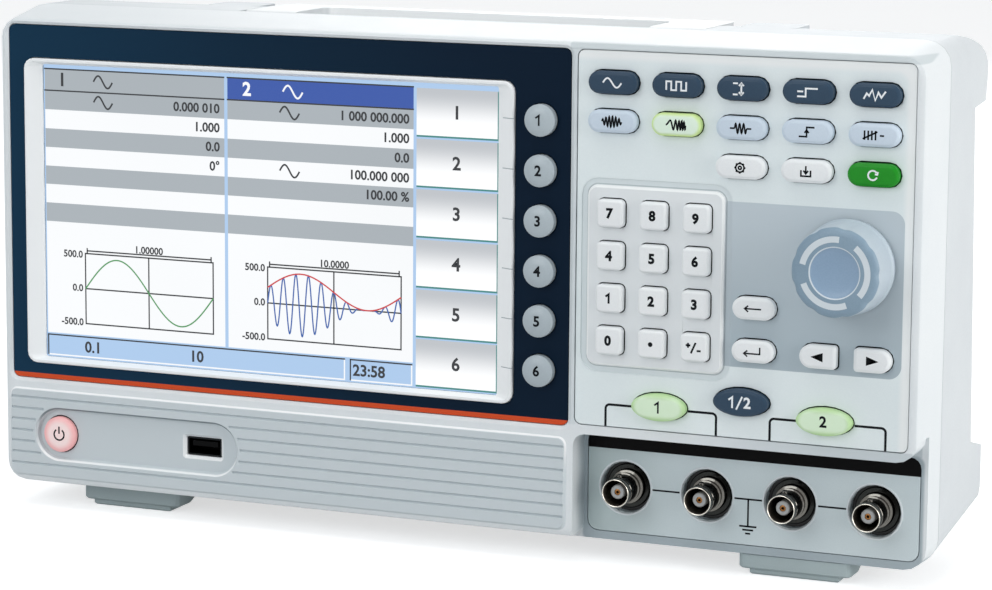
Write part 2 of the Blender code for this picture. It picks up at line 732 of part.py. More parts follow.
# Control panel with the raised keypad surround
plate = prism("control_panel", box_outline(CONTROL_X, CONTROL_END, CONTROL_BOTTOM, PANEL_TOP, PANEL_RADIUS),
              CONTROL_BACK, PANEL_INSET)
control_panel = add("control_panel", plate, panel_grey)
surround_left = KEYPAD_X - KEYPAD_MARGIN
surround_bottom = KEYPAD_FOOT_Z - KEYPAD_MARGIN
surround_top = KEYPAD_Z + KEYPAD_MARGIN


def surround_outline(inset):
    """The keypad surround, pulled in by an amount."""
    return box_outline(surround_left + inset, KEYPAD_END - inset, surround_bottom + inset,
                       surround_top - inset, SURROUND_RADIUS - inset)


surround = loft("keypad_surround", [
    (surround_outline(0.0), PANEL_INSET + CONTROL_THICK / 2),
    (surround_outline(0.0), PANEL_INSET - SURROUND_RISE * 0.4),
    (surround_outline(SURROUND_RISE * 0.6), PANEL_INSET - SURROUND_RISE),
])
moat = prism("keypad_moat", surround_outline(-MOAT_WIDTH), PANEL_INSET + MOAT_DEPTH, -THROUGH)
boolean(control_panel, cutter("keypad_moat", moat))
boolean(control_panel, cutter("keypad_surround", surround), "UNION")
boolean(control_panel, key_holes)

# Display panel: a dark plate with a window for the frame and holes for the soft keys
plate = prism("display_panel", box_outline(DISPLAY_X, DISPLAY_END, PANEL_BOTTOM, PANEL_TOP, PANEL_RADIUS),
              DISPLAY_BACK, DISPLAY_INSET)
display_panel = add("display_panel", plate, navy)
window = outline(FRAME_WIDTH, FRAME_HEIGHT, FRAME_RADIUS, (SCREEN_X, SCREEN_Z))
cutter("display_window", prism("display_window", window, -THROUGH, THROUGH), group=display_holes)
boolean(display_panel, display_holes)

# Screen module behind the frame
module = outline(SCREEN_WIDTH + 2 * MODULE_BORDER_SIDE, SCREEN_HEIGHT + 2 * MODULE_BORDER_TOP, SMALL_CORNER,
                 (SCREEN_X, SCREEN_Z), steps=1)
module_front = SCREEN_DEPTH + CLEAR
module_block = prism("screen_module", module, module_front + MODULE_THICK, module_front)
add("screen_module", module_block, screen_glass)

# Front housing: a block with flared sides, hollowed from behind. Its underside drops to full height at
# the depth of the output corner
seam_outline = box_outline(-CASE_WIDTH / 2, CASE_WIDTH / 2, CASE_BOTTOM, CASE_TOP, CASE_RADIUS)


def face_outline(inset):
    """The front face, pulled in by an amount."""
    half = FACE_WIDTH / 2 - inset
    return box_outline(-half, half, FACE_BOTTOM + inset, FACE_TOP - inset, FACE_RADIUS - inset)


flare_share = (STEP_DEPTH - FACE_EDGE) / (FRONT_DEPTH - FACE_EDGE)
step_half = FACE_WIDTH / 2 + flare_share * FLARE_SIDE
step_outline = box_outline(-step_half, step_half, CASE_BOTTOM, FACE_TOP + flare_share * FLARE_TOP,
                           FACE_RADIUS + flare_share * (CASE_RADIUS - FACE_RADIUS))
front_block = loft("front_housing", [
    (seam_outline, FRONT_DEPTH),
    (step_outline, STEP_DEPTH),
    (face_outline(0.0), FACE_EDGE),
    (face_outline(FACE_EDGE * 0.3), FACE_EDGE * 0.3),
    (face_outline(FACE_EDGE), 0.0),
])
front_housing = add("front_housing", front_block, shell_white)
hollows = cutter_group("front_housing_hollows")
inner_left = -FACE_WIDTH / 2 + WALL
inner_right = FACE_WIDTH / 2 - WALL
inner_bottom = FACE_BOTTOM + WALL
inner_top = FACE_TOP - WALL
inner_radius = FACE_RADIUS - WALL
back_of_all = FRONT_DEPTH + THROUGH
display_hollow = box_outline(inner_left, CONTROL_X - WALL, inner_bottom, inner_top, inner_radius)
cutter("display_hollow", prism("display_hollow", display_hollow, FACE_WALL, back_of_all), group=hollows)
control_hollow = box_outline(CONTROL_X - 2 * WALL, inner_right, STEP_TOP + WALL, inner_top, inner_radius)
cutter("control_hollow", prism("control_hollow", control_hollow, FACE_WALL + CLEAR, back_of_all),
       group=hollows)
rear_hollow = box_outline(inner_left, inner_right, inner_bottom, inner_top, inner_radius)
cutter("rear_hollow", prism("rear_hollow", rear_hollow, OUTPUT_BACK + WALL, back_of_all), group=hollows)


# The set-back output corner is open to the right and below, sweeps up at its right end and rounds off
# the lower corner of the ribbed part
def quarter(centre, radius, number, steps=CORNER_STEPS):
    """A quarter circle of (x, z) points, clockwise from the side that its number of right angles gives."""
    points = []
    for i in range(steps + 1):
        angle = math.pi / 2 * (number - i / steps)
        points.append((centre[0] + radius * math.cos(angle), centre[1] + radius * math.sin(angle)))
    return points


step_corner = [
    (STEP_X - STEP_FOOT_RADIUS, -CASE_HEIGHT),
    (CASE_WIDTH, -CASE_HEIGHT),
    (CASE_WIDTH, STEP_TOP + STEP_SWEEP),
    *quarter((FACE_WIDTH / 2 - STEP_SWEEP, STEP_TOP + STEP_SWEEP), STEP_SWEEP, 4),
    *reversed(quarter((STEP_X + STEP_RADIUS, STEP_TOP - STEP_RADIUS), STEP_RADIUS, 2)),
    *quarter((STEP_X - STEP_FOOT_RADIUS, CASE_BOTTOM + STEP_FOOT_RADIUS), STEP_FOOT_RADIUS, 4),
]
cutter("output_step", prism("output_step", step_corner, -THROUGH, STEP_DEPTH), group=hollows)
output_outline = box_outline(OUTPUT_X, OUTPUT_END, OUTPUT_BOTTOM, OUTPUT_TOP, OUTPUT_RADIUS)
output_seat = box_outline(OUTPUT_X - CLEAR, OUTPUT_END + CLEAR, OUTPUT_BOTTOM - CLEAR,
                          OUTPUT_TOP + CLEAR / 2, OUTPUT_RADIUS + CLEAR)
cutter("output_seat", prism("output_seat", output_seat, STEP_DEPTH - OVERLAP, OUTPUT_BACK), group=hollows)

# Seats for the two plates, and the openings behind them
def display_seat(grow):
    """The recess of the display panel, grown by an amount."""
    return box_outline(DISPLAY_X - grow, DISPLAY_END + grow, PANEL_BOTTOM - grow, PANEL_TOP + grow,
                       PANEL_RADIUS + grow)


display_recess = loft("display_recess", [
    (display_seat(CLEAR), DISPLAY_BACK + CLEAR),
    (display_seat(CLEAR), DISPLAY_INSET),
    (display_seat(CLEAR + DISPLAY_BEVEL), 0.0),
    (display_seat(CLEAR + DISPLAY_BEVEL), -THROUGH),
])
cutter("display_recess", display_recess, group=hollows)
control_seat = box_outline(CONTROL_X - CLEAR, CONTROL_END + CLEAR, CONTROL_BOTTOM - CLEAR, PANEL_TOP + CLEAR,
                           PANEL_RADIUS + CLEAR)
cutter("control_seat", prism("control_seat", control_seat, -THROUGH, CONTROL_BACK + CLEAR), group=hollows)
opening = box_outline(CONTROL_X + CONTROL_LEDGE, CONTROL_END - CONTROL_LEDGE, CONTROL_BOTTOM + CONTROL_LEDGE,
                      PANEL_TOP - CONTROL_LEDGE, PANEL_RADIUS)
cutter("control_opening", prism("control_opening", opening, -THROUGH, back_of_all - OVERLAP), group=hollows)
module_seat = outline(SCREEN_WIDTH + 2 * (MODULE_BORDER_SIDE + CLEAR),
                      SCREEN_HEIGHT + 2 * (MODULE_BORDER_TOP + CLEAR), SMALL_CORNER,
                      (SCREEN_X, SCREEN_Z), steps=1)
boolean(front_housing, hollows)

# Screen frame, ribbed pad and board posts are moulded on
moulded = cutter_group("front_housing_moulded")


def frame_outline(inset):
    """The screen frame, pulled in by an amount."""
    return outline(FRAME_WIDTH - 2 * inset, FRAME_HEIGHT - 2 * inset, FRAME_RADIUS - inset,
                   (SCREEN_X, SCREEN_Z))


frame = loft("screen_frame", [
    (frame_outline(CLEAR), SCREEN_DEPTH + OVERLAP / 2),
    (frame_outline(CLEAR), -FRAME_PROUD + FRAME_LIP / 2),
    (frame_outline(CLEAR + FRAME_LIP / 2), -FRAME_PROUD),
])
cutter("screen_frame", frame, group=moulded)


def pad_outline(inset):
    """The ribbed pad, pulled in by an amount."""
    return box_outline(PAD_X + inset, DISPLAY_END - inset, PAD_BOTTOM + inset, PAD_TOP - inset,
                       PAD_RADIUS - inset)


pad = loft("ribbed_pad", [
    (pad_outline(0.0), FACE_WALL / 2),
    (pad_outline(0.0), 0.0),
    (pad_outline(PAD_RISE), -PAD_RISE),
])
cutter("ribbed_pad", pad, group=moulded)
post_start = FACE_WALL - OVERLAP
post_places = ((SOFT_X, PANEL_TOP - ROW_TOP), (SOFT_X, PANEL_BOTTOM + ROW_TOP / 2),
               (POCKET_END + POCKET_HEIGHT, POCKET_Z))
for i, place in enumerate(post_places):
    post = prism("board_post_%d" % i, circle(POST_RADIUS, place, 10), post_start, KEY_BOARD_Y - CLEAR)
    cutter("board_post_%d" % i, post, group=moulded)
boolean(front_housing, moulded, "UNION")

# Screen opening, grooves, pocket and holes
screen_taper = loft("screen_taper", [
    (outline(SCREEN_WIDTH, SCREEN_HEIGHT, SCREEN_RADIUS, (SCREEN_X, SCREEN_Z)), THROUGH),
    (outline(SCREEN_WIDTH, SCREEN_HEIGHT, SCREEN_RADIUS, (SCREEN_X, SCREEN_Z)), SCREEN_DEPTH - FRAME_LIP),
    (frame_outline(CLEAR + FRAME_LIP * 1.5), -FRAME_PROUD),
    (frame_outline(CLEAR + FRAME_LIP * 1.5), -THROUGH),
])
cutter("screen_taper", screen_taper, group=face_holes)
cutter("module_seat", prism("module_seat", module_seat, SCREEN_DEPTH, MODULE_SEAT_BACK), group=face_holes)


def groove(name, left, right, z):
    """A V groove cut along the pad."""
    half = GROOVE_WIDTH / 2
    profile = [(-PAD_RISE + GROOVE_DEPTH, z), (-PAD_RISE - GROOVE_DEPTH, z - 2 * half),
               (-PAD_RISE - GROOVE_DEPTH, z + 2 * half)]
    cutter(name, side_prism(name, profile, left, right), group=face_holes)


for i in range(RIB_COUNT):
    groove_z = PAD_TOP - RIB_FIRST - i * RIB_PITCH
    if groove_z < PAD_BOTTOM + GROOVE_WIDTH:
        break
    above = abs(groove_z - POCKET_Z)
    reach = POCKET_HEIGHT / 2 + GROOVE_STOP
    left_end = PAD_X + PAD_RISE
    right_end = DISPLAY_END - PAD_RISE
    if above >= reach:
        groove("groove_%d" % i, left_end, right_end, groove_z)
    else:
        bulge = math.sqrt(reach ** 2 - above ** 2)
        groove("groove_%d_left" % i, left_end, POWER_X - bulge, groove_z)
        groove("groove_%d_right" % i, POCKET_END - POCKET_HEIGHT / 2 + bulge, right_end, groove_z)


def pocket_outline(grow):
    """The pill shaped pocket, grown by an amount."""
    return box_outline(POCKET_X - grow, POCKET_END + grow, POCKET_Z - POCKET_HEIGHT / 2 - grow,
                       POCKET_Z + POCKET_HEIGHT / 2 + grow, POCKET_HEIGHT / 2 + grow, 2 * CORNER_STEPS)


pocket_floor = POCKET_DEPTH
pocket = loft("pocket", [
    (pocket_outline(-POCKET_FILLET), pocket_floor),
    (pocket_outline(0.0), pocket_floor - POCKET_FILLET_RISE),
    (pocket_outline(0.0), POCKET_LIP - PAD_RISE),
    (pocket_outline(2 * POCKET_LIP), -PAD_RISE - POCKET_LIP),
])
cutter("pocket", pocket, group=face_holes)
power_hole = prism("power_hole", circle(POWER_SIZE / 2 + CLEAR, steps=24), -THROUGH, THROUGH)
cutter("power_hole", power_hole, (POWER_X, 0.0, POCKET_Z), group=face_holes)
usb_gap = outline(USB_WIDTH + 2 * CLEAR, USB_HEIGHT + 2 * CLEAR, CLEAR, steps=2)
usb_hole = prism("usb_hole", usb_gap, -THROUGH, THROUGH)
cutter("usb_hole", usb_hole, (USB_X, 0.0, POCKET_Z), group=face_holes)
usb_rim_size = (USB_WIDTH + 2 * USB_SURROUND, USB_HEIGHT + 2 * USB_SURROUND)
usb_rim = loft("usb_rim", [
    (usb_gap, pocket_floor + USB_SURROUND * 0.7),
    (outline(*usb_rim_size, USB_SURROUND, steps=2), pocket_floor - USB_RIM_RISE),
])
cutter("usb_rim", usb_rim, (USB_X, 0.0, POCKET_Z), group=face_holes)
for i, x in enumerate(SOCKET_XS):
    hole = prism("socket_hole_%d" % i, circle(SOCKET_HOLE), STEP_DEPTH - 2 * OVERLAP,
                 SOCKET_SEAT + 2 * OVERLAP)
    cutter("socket_hole_%d" % i, hole, (x, 0.0, SOCKET_Z), group=face_holes)
boolean(front_housing, face_holes)

# Power button
power_rows = key_sections(POWER_SIZE, POWER_SIZE, POWER_SIZE / 2, KEY_BACK, FACE_WALL + CLEAR, POWER_PROUD,
                          POWER_FLANGE, 6)
add("power_button", loft("power_button", power_rows), power_pink, (POWER_X, 0.0, POCKET_Z))

# USB socket: a thin steel shell with a tongue, open at the front
usb_back = pocket_floor + CLEAR + USB_LENGTH
usb_front = pocket_floor + USB_SURROUND * 0.7 + CLEAR
usb_shell = prism("usb_socket", outline(USB_WIDTH, USB_HEIGHT, USB_CORNER, steps=1), usb_back, usb_front)
usb = add("usb_socket", usb_shell, socket_steel, (USB_X, 0.0, POCKET_Z))
mouth = outline(USB_WIDTH - 2 * USB_SHELL, USB_HEIGHT - 2 * USB_SHELL, USB_CORNER, steps=1)
boolean(usb, cutter("usb_mouth", prism("usb_mouth", mouth, usb_front - OVERLAP, usb_front + USB_MOUTH),
                    (USB_X, 0.0, POCKET_Z)))
tongue_z = POCKET_Z + USB_HEIGHT / 2 - USB_SHELL - USB_TONGUE
tongue_outline = outline(USB_WIDTH - 2 * USB_SHELL - 2 * USB_TONGUE_SIDE, USB_TONGUE, USB_CORNER / 2, steps=1)
tongue = prism("usb_tongue", tongue_outline, usb_front + USB_MOUTH + OVERLAP, usb_front + USB_TONGUE_BACK)
boolean(usb, cutter("usb_tongue", tongue, (USB_X, 0.0, tongue_z)), "UNION")

# Output panel with a bevelled hole round each socket
plate = prism("output_panel", output_outline, STEP_DEPTH + OUTPUT_THICK, STEP_DEPTH)
output_panel = add("output_panel", plate, output_grey)
socket_holes = cutter_group("output_panel_holes")
for i, x in enumerate(SOCKET_XS):
    hole = loft("panel_socket_hole_%d" % i, [
        (circle(SOCKET_HOLE), STEP_DEPTH + THROUGH),
        (circle(SOCKET_HOLE), STEP_DEPTH + SOCKET_RIM),
        (circle(SOCKET_HOLE + 2 * SOCKET_RIM), STEP_DEPTH - SOCKET_RIM),
        (circle(SOCKET_HOLE + 2 * SOCKET_RIM), STEP_DEPTH - 2 * OVERLAP),
    ])
    cutter("panel_socket_hole_%d" % i, hole, (x, 0.0, SOCKET_Z), group=socket_holes)
boolean(output_panel, socket_holes)


def coaxial_socket(name, place, turn):
    """A bayonet coaxial socket that points along its own Z from the front of its block:
    block behind the wall, collar, barrel with two lugs, core with a contact hole."""
    tip = BARREL_LENGTH
    profile = [
        (0.0, tip - CORE_BACK - CONTACT_DEPTH),
        (CONTACT_RADIUS, tip - CORE_BACK - CONTACT_DEPTH),
        (CONTACT_RADIUS, tip - CORE_BACK),
        (CORE_RADIUS, tip - CORE_BACK),
        (CORE_RADIUS, tip - BORE_DEPTH),
        (BARREL_BORE, tip - BORE_DEPTH),
        (BARREL_BORE, tip),
        (BARREL_RADIUS - BARREL_EDGE, tip),
        (BARREL_RADIUS, tip - BARREL_EDGE),
        (BARREL_RADIUS, COLLAR_LENGTH),
        (COLLAR_RADIUS, COLLAR_LENGTH),
        (COLLAR_RADIUS, -SOCKET_BLOCK_DEPTH / 2),
        (0.0, -SOCKET_BLOCK_DEPTH / 2),
    ]
    piece = add(name, turned(name, profile), nickel, place, turn)
    spin(piece, SOCKET_STEPS)
    joined = cutter_group(name + "_joined")
    block = prism(name + "_block", outline(SOCKET_BLOCK, SOCKET_BLOCK, SMALL_CORNER, steps=1),
                  -SOCKET_BLOCK_DEPTH, 0.0)
    cutter(name + "_block", block, turn=UPRIGHT, group=joined, parent=piece)
    lug = prism(name + "_lug", circle(LUG_RADIUS, steps=8), (BARREL_RADIUS + BARREL_BORE) / 2,
                BARREL_RADIUS + LUG_REACH)
    for side in (-1, 1):
        cutter(name + "_lug", lug, (0.0, 0.0, tip - LUG_BACK), (0.0, 0.0, side * math.pi / 2),
               joined, piece)
    boolean(piece, joined, "UNION")
    return piece


for i, x in enumerate(SOCKET_XS):
    coaxial_socket("output_socket_%d" % (i + 1), (x, SOCKET_SEAT, SOCKET_Z), FACE_FORWARD)

# Key board behind all keys, with a hole for the USB socket
screen_side = SCREEN_X + SCREEN_WIDTH / 2 + MODULE_BORDER_SIDE + 2 * CLEAR
screen_foot = SCREEN_Z - SCREEN_HEIGHT / 2 - MODULE_BORDER_TOP - 2 * CLEAR
strip_left = inner_left + BOARD_EDGE
strip_right = CONTROL_X - WALL - BOARD_EDGE
strip_bottom = inner_bottom + BOARD_EDGE
field_right = inner_right - BOARD_EDGE
field_bottom = STEP_TOP + WALL + BOARD_EDGE
field_top = inner_top - BOARD_EDGE
board_outline = [
    (strip_left, strip_bottom),
    (strip_right, strip_bottom),
    (strip_right, field_bottom),
    (field_right, field_bottom),
    (field_right, field_top),
    (screen_side, field_top),
    (screen_side, screen_foot),
    (strip_left, screen_foot),
]
key_board = add("key_board", prism("key_board", board_outline, KEY_BOARD_Y + BOARD_THICK, KEY_BOARD_Y),
                board_green)
usb_board_hole = outline(USB_WIDTH + 2 * CLEAR, USB_HEIGHT + 2 * CLEAR, CLEAR, steps=1)
boolean(key_board, cutter("usb_board_hole", prism("usb_board_hole", usb_board_hole, -THROUGH, 2 * THROUGH),
                          (USB_X, 0.0, POCKET_Z)))

# Rear housing: a tapering tube, cut to the side profile and to rounded back corners
lower_top = CASE_BOTTOM + LOWER_BUMPER_HEIGHT
bumper_top = CASE_TOP - TOP_FALL
bumper_foot = bumper_top - TOP_BUMPER_HEIGHT
wall_foot_z = lower_top + LOWER_BUMPER_SLOPE
wall_lean = math.atan2(REAR_WALL_FOOT - REAR_WALL_TOP, bumper_foot - wall_foot_z)
beyond = 2 * THROUGH


def wall_y(z):
    """Depth of the outer face of the leaning rear wall at a height."""
    return REAR_WALL_FOOT - (z - wall_foot_z) * math.tan(wall_lean)


def top_curve(steps, drop=0.0):
    """The top falling to the rear bumper, as a quarter of an oval."""
    points = []
    for i in range(steps + 1):
        angle = math.pi / 2 * i / steps
        points.append((TOP_FLAT + (TOP_BUMPER - TOP_FLAT - drop) * math.cos(angle),
                       bumper_top + (TOP_FALL - drop) * math.sin(angle)))
    return points


def tube_outline(share, inset):
    """Cross-section of the rear housing at a share of its depth, pulled in by an amount."""
    half = CASE_WIDTH / 2 - share * REAR_DRAFT - inset
    return box_outline(-half, half, CASE_BOTTOM + share * BOTTOM_RISE + inset, CASE_TOP - inset,
                       CASE_RADIUS - inset)


rear_housing = add("rear_housing", loft("rear_housing", [
    (tube_outline(0.0, 0.0), REAR_START),
    (tube_outline(1.0, 0.0), CASE_DEPTH + REAR_CHAMFER),
]), rear_grey)
side_profile = [
    (REAR_START - beyond, -beyond),
    (CASE_DEPTH - REAR_CHAMFER, -beyond),
    (CASE_DEPTH - REAR_CHAMFER, CASE_BOTTOM + BOTTOM_RISE),
    (CASE_DEPTH, CASE_BOTTOM + BOTTOM_RISE + REAR_CHAMFER),
    (CASE_DEPTH, lower_top - REAR_CHAMFER),
    (CASE_DEPTH - REAR_CHAMFER, lower_top),
    (REAR_WALL_FOOT, wall_foot_z),
    (REAR_WALL_TOP, bumper_foot),
    (TOP_BUMPER - REAR_CHAMFER, bumper_foot + REAR_CHAMFER / 2),
    *top_curve(6)[:-1],
    (TOP_FLAT, CASE_TOP + CLEAR / 10),
    (TOP_FLAT - beyond / 4, CASE_TOP + beyond),
    (REAR_START - beyond, CASE_TOP + beyond),
]
side_block = side_prism("rear_profile", side_profile, -CASE_WIDTH, CASE_WIDTH)
boolean(rear_housing, cutter("rear_profile", side_block), "INTERSECT")
plan_half = CASE_WIDTH / 2 - REAR_DRAFT / 2
plan_middle = (CASE_DEPTH + REAR_START - beyond) / 2
plan = outline(2 * plan_half + REAR_DRAFT, CASE_DEPTH - REAR_START + beyond + REAR_CHAMFER / 100,
               (FINE_CORNER, FINE_CORNER, REAR_CORNER, REAR_CORNER), (0.0, plan_middle))
plan_block = plan_prism("rear_plan", plan, -beyond, CASE_TOP + beyond)
boolean(rear_housing, cutter("rear_plan", plan_block), "INTERSECT")

# Its hollow leaves room for the handle well
hollow = cutter("rear_hollow_tube", loft("rear_hollow_tube", [
    (tube_outline(0.0, WALL), REAR_START - beyond),
    (tube_outline(0.0, WALL), REAR_START),
    (tube_outline(1.0, WALL), CASE_DEPTH),
]))
inner_profile = [
    (REAR_START - 2 * beyond, -beyond),
    (REAR_WALL_FOOT - WALL, -beyond),
    (REAR_WALL_FOOT - WALL, wall_foot_z),
    (REAR_WALL_TOP - WALL, bumper_foot),
    (REAR_WALL_TOP - WALL, bumper_top),
    (TOP_FLAT, CASE_TOP - WALL - CLEAR),
    (TOP_FLAT, CASE_TOP + beyond),
    (REAR_START - 2 * beyond, CASE_TOP + beyond),
]
inner_block = side_prism("hollow_profile", inner_profile, -CASE_WIDTH, CASE_WIDTH)
boolean(hollow, cutter("hollow_profile", inner_block), "INTERSECT")
well_half = HANDLE_WIDTH / 2 + HANDLE_CLEAR
well_front = HANDLE_FRONT - HANDLE_CLEAR
well_back = GRIP_BACK + HANDLE_CLEAR
well_middle = (well_front + well_back) / 2
well_length = well_back - well_front


def well_plan(grow):
    """The handle well seen from above, grown by an amount."""
    back_radius = WELL_RADIUS + HANDLE_CLEAR + grow
    radii = (CLEAR + grow, CLEAR + grow, back_radius, back_radius)
    return outline(2 * (well_half + grow), well_length + 2 * grow, radii, (0.0, well_middle))


well_walls = well_plan(PIN_LENGTH + WELL_WALL)
well_block = plan_prism("well_block", well_walls, WELL_FLOOR - WELL_WALL, CASE_TOP + 2 * beyond)
boolean(hollow, cutter("well_block", well_block))
boolean(rear_housing, hollow)

# Shoulders beside the handle, rear feet and board posts are moulded on
rear_moulded = cutter_group("rear_housing_moulded")
shoulder_x = well_half + SHOULDER_GAP + SHOULDER_WIDTH / 2
shoulder_y = GRIP_BACK - SHOULDER_DEPTH / 2
rear_foot_y = CASE_DEPTH - REAR_FOOT_INSET - REAR_FOOT_DEPTH


def foot_plan(x, front, width, depth, inset):
    """A foot seen from above, pulled in at both ends by an amount."""
    radius = max(FOOT_RADIUS - inset, SMALL_RADIUS)
    return outline(width - 2 * inset, depth, radius, (x, front + depth / 2), 3)


for side, word in ((-1, "left"), (1, "right")):
    shoulder = outline(SHOULDER_WIDTH, SHOULDER_DEPTH, FOOT_RADIUS, (side * shoulder_x, shoulder_y))
    cutter("shoulder_" + word, plan_prism("shoulder_" + word, shoulder, bumper_top, CASE_TOP - CLEAR),
           group=rear_moulded)
    rear_foot = foot_plan(side * FOOT_X, rear_foot_y, FOOT_WIDTH, REAR_FOOT_DEPTH, 0.0)
    foot_block = plan_prism("rear_foot_" + word, rear_foot, 0.0, CASE_BOTTOM + BOTTOM_RISE + WALL / 2)
    cutter("rear_foot_" + word, foot_block, group=rear_moulded)
board_bottom = CASE_BOTTOM + MAIN_BOARD_RISE
board_back = MAIN_BOARD_Y + BOARD_THICK
for i in range(4):
    post_x = (1 if i % 2 else -1) * (MAIN_BOARD_WIDTH / 2 - 2 * POST_RADIUS)
    post_z = board_bottom + (2 * POST_RADIUS if i < 2 else MAIN_BOARD_HEIGHT - 2 * POST_RADIUS)
    post = circle(POST_RADIUS, (post_x, post_z), 10)
    post_block = prism("main_post_%d" % i, post, board_back + CLEAR, wall_y(post_z) - WALL / 2)
    cutter("main_post_%d" % i, post_block, group=rear_moulded)
boolean(rear_housing, rear_moulded, "UNION")

# Handle well with pin holes, inlet opening, counter socket hole and vent slots
rear_cuts = cutter_group("rear_housing_cuts")
handle_well = plan_prism("handle_well", well_plan(0.0), WELL_FLOOR, CASE_TOP + beyond)
cutter("handle_well", handle_well, group=rear_cuts)
for side, word in ((-1, "left"), (1, "right")):
    reach = sorted((side * (well_half - CLEAR), side * (HANDLE_WIDTH / 2 + PIN_LENGTH + CLEAR)))
    hole = side_prism("pin_hole_" + word, circle(PIN_RADIUS + CLEAR, (PIN_Y, PIN_Z), 14), *reach)
    cutter("pin_hole_" + word, hole, group=rear_cuts)


def on_wall(x, rise, out):
    """A point on the outer face of the rear wall, moved out along its normal."""
    z = CASE_BOTTOM + rise
    return (x, wall_y(z) + out * math.cos(wall_lean), z + out * math.sin(wall_lean))


lean = (wall_lean, 0.0, 0.0)
inlet_place = on_wall(INLET_X, INLET_RISE, CLEAR)
inlet_hole = outline(INLET_BODY_WIDTH + 2 * CLEAR, INLET_BODY_HEIGHT + 2 * CLEAR, SMALL_CORNER, steps=1)
cutter("inlet_hole", prism("inlet_hole", inlet_hole, -THROUGH, THROUGH), inlet_place, lean, rear_cuts)
counter_place = on_wall(COUNTER_X, COUNTER_RISE, -WALL - CLEAR)
counter_hole = prism("counter_hole", circle(COLLAR_RADIUS + CLEAR), -THROUGH, THROUGH)
cutter("counter_hole", counter_hole, counter_place, lean, rear_cuts)
for i in range(VENT_COUNT):
    vent_x = VENT_X + (i - (VENT_COUNT - 1) / 2) * VENT_PITCH
    vent = outline(VENT_WIDTH, VENT_HEIGHT, VENT_WIDTH / 2, steps=2)
    slot = prism("vent_%d" % i, vent, -THROUGH, THROUGH)
    cutter("vent_%d" % i, slot, on_wall(vent_x, VENT_RISE, 0.0), lean, rear_cuts)
boolean(rear_housing, rear_cuts)

# Carry handle: a U seen from above, rounded ends, pins into the sides of the well
handle_middle = (HANDLE_FRONT + GRIP_BACK) / 2 - PIN_Y
handle_radii = (FINE_CORNER, FINE_CORNER, WELL_RADIUS, WELL_RADIUS)
handle_plan = outline(HANDLE_WIDTH, GRIP_BACK - HANDLE_FRONT, handle_radii, (0.0, handle_middle))
half_thick = HANDLE_THICK / 2
carry_handle = add("carry_handle", plan_prism("carry_handle", handle_plan, -beyond, beyond), handle_white,
                   (0.0, PIN_Y, PIN_Z))
gap_plan = outline(HANDLE_WIDTH - 2 * ARM_WIDTH, 2 * (GRIP_FRONT - PIN_Y), ARM_CORNER)
boolean(carry_handle, cutter("handle_gap", plan_prism("handle_gap", gap_plan, -2 * beyond, 2 * beyond),
                             (0.0, PIN_Y, PIN_Z)))
grip_end = GRIP_BACK - PIN_Y
handle_side = [(half_thick * math.cos(a), half_thick * math.sin(a))
               for a in (math.pi / 2 * (1 + i / 4) for i in range(9))]
handle_side += [
    (grip_end - HANDLE_EDGE, -half_thick),
    (grip_end + CLEAR, -half_thick + HANDLE_EDGE),
    (grip_end + CLEAR, half_thick - HANDLE_EDGE),
    (grip_end - HANDLE_EDGE, half_thick),
]
boolean(carry_handle, cutter("handle_side", side_prism("handle_side", handle_side, -CASE_WIDTH, CASE_WIDTH),
                             (0.0, PIN_Y, PIN_Z)), "INTERSECT")
pins = cutter_group("handle_pins")
for side, word in ((-1, "left"), (1, "right")):
    reach = sorted((side * (HANDLE_WIDTH / 2 - PIN_LENGTH), side * (HANDLE_WIDTH / 2 + PIN_LENGTH)))
    pin = side_prism("handle_pin_" + word, circle(PIN_RADIUS, steps=14), *reach)
    cutter("handle_pin_" + word, pin, (0.0, PIN_Y, PIN_Z), group=pins)
boolean(carry_handle, pins, "UNION")

# Front feet under the seam: a block with a sloping back, and a narrower pad under it
foot_low = FOOT_DEPTH - FOOT_SLOPE
for side, word in ((-1, "left"), (1, "right")):
    rings = (
        (0.0, FOOT_FRONT, FOOT_DEPTH, CASE_BOTTOM - CLEAR),
        (0.0, FOOT_FRONT, foot_low, FOOT_PAD_HEIGHT + FOOT_TOE),
        (FOOT_TOE, FOOT_FRONT + FOOT_TOE, foot_low - 2 * FOOT_TOE, FOOT_PAD_HEIGHT),
        (FOOT_PAD_INSET, FOOT_FRONT + 2 * FOOT_TOE, foot_low - 4 * FOOT_TOE, FOOT_PAD_HEIGHT),
        (FOOT_PAD_INSET, FOOT_FRONT + 2 * FOOT_TOE, foot_low - 4 * FOOT_TOE, FOOT_TOE),
        (FOOT_PAD_INSET + FOOT_TOE, FOOT_FRONT + 3 * FOOT_TOE, foot_low - 6 * FOOT_TOE, 0.0),
    )
    foot_x = side * FOOT_X
    sections = [(foot_plan(foot_x, front, FOOT_WIDTH, depth, inset), z) for inset, front, depth, z in rings]
    add("foot_" + word, loft("foot_" + word, sections, True), foot_grey)

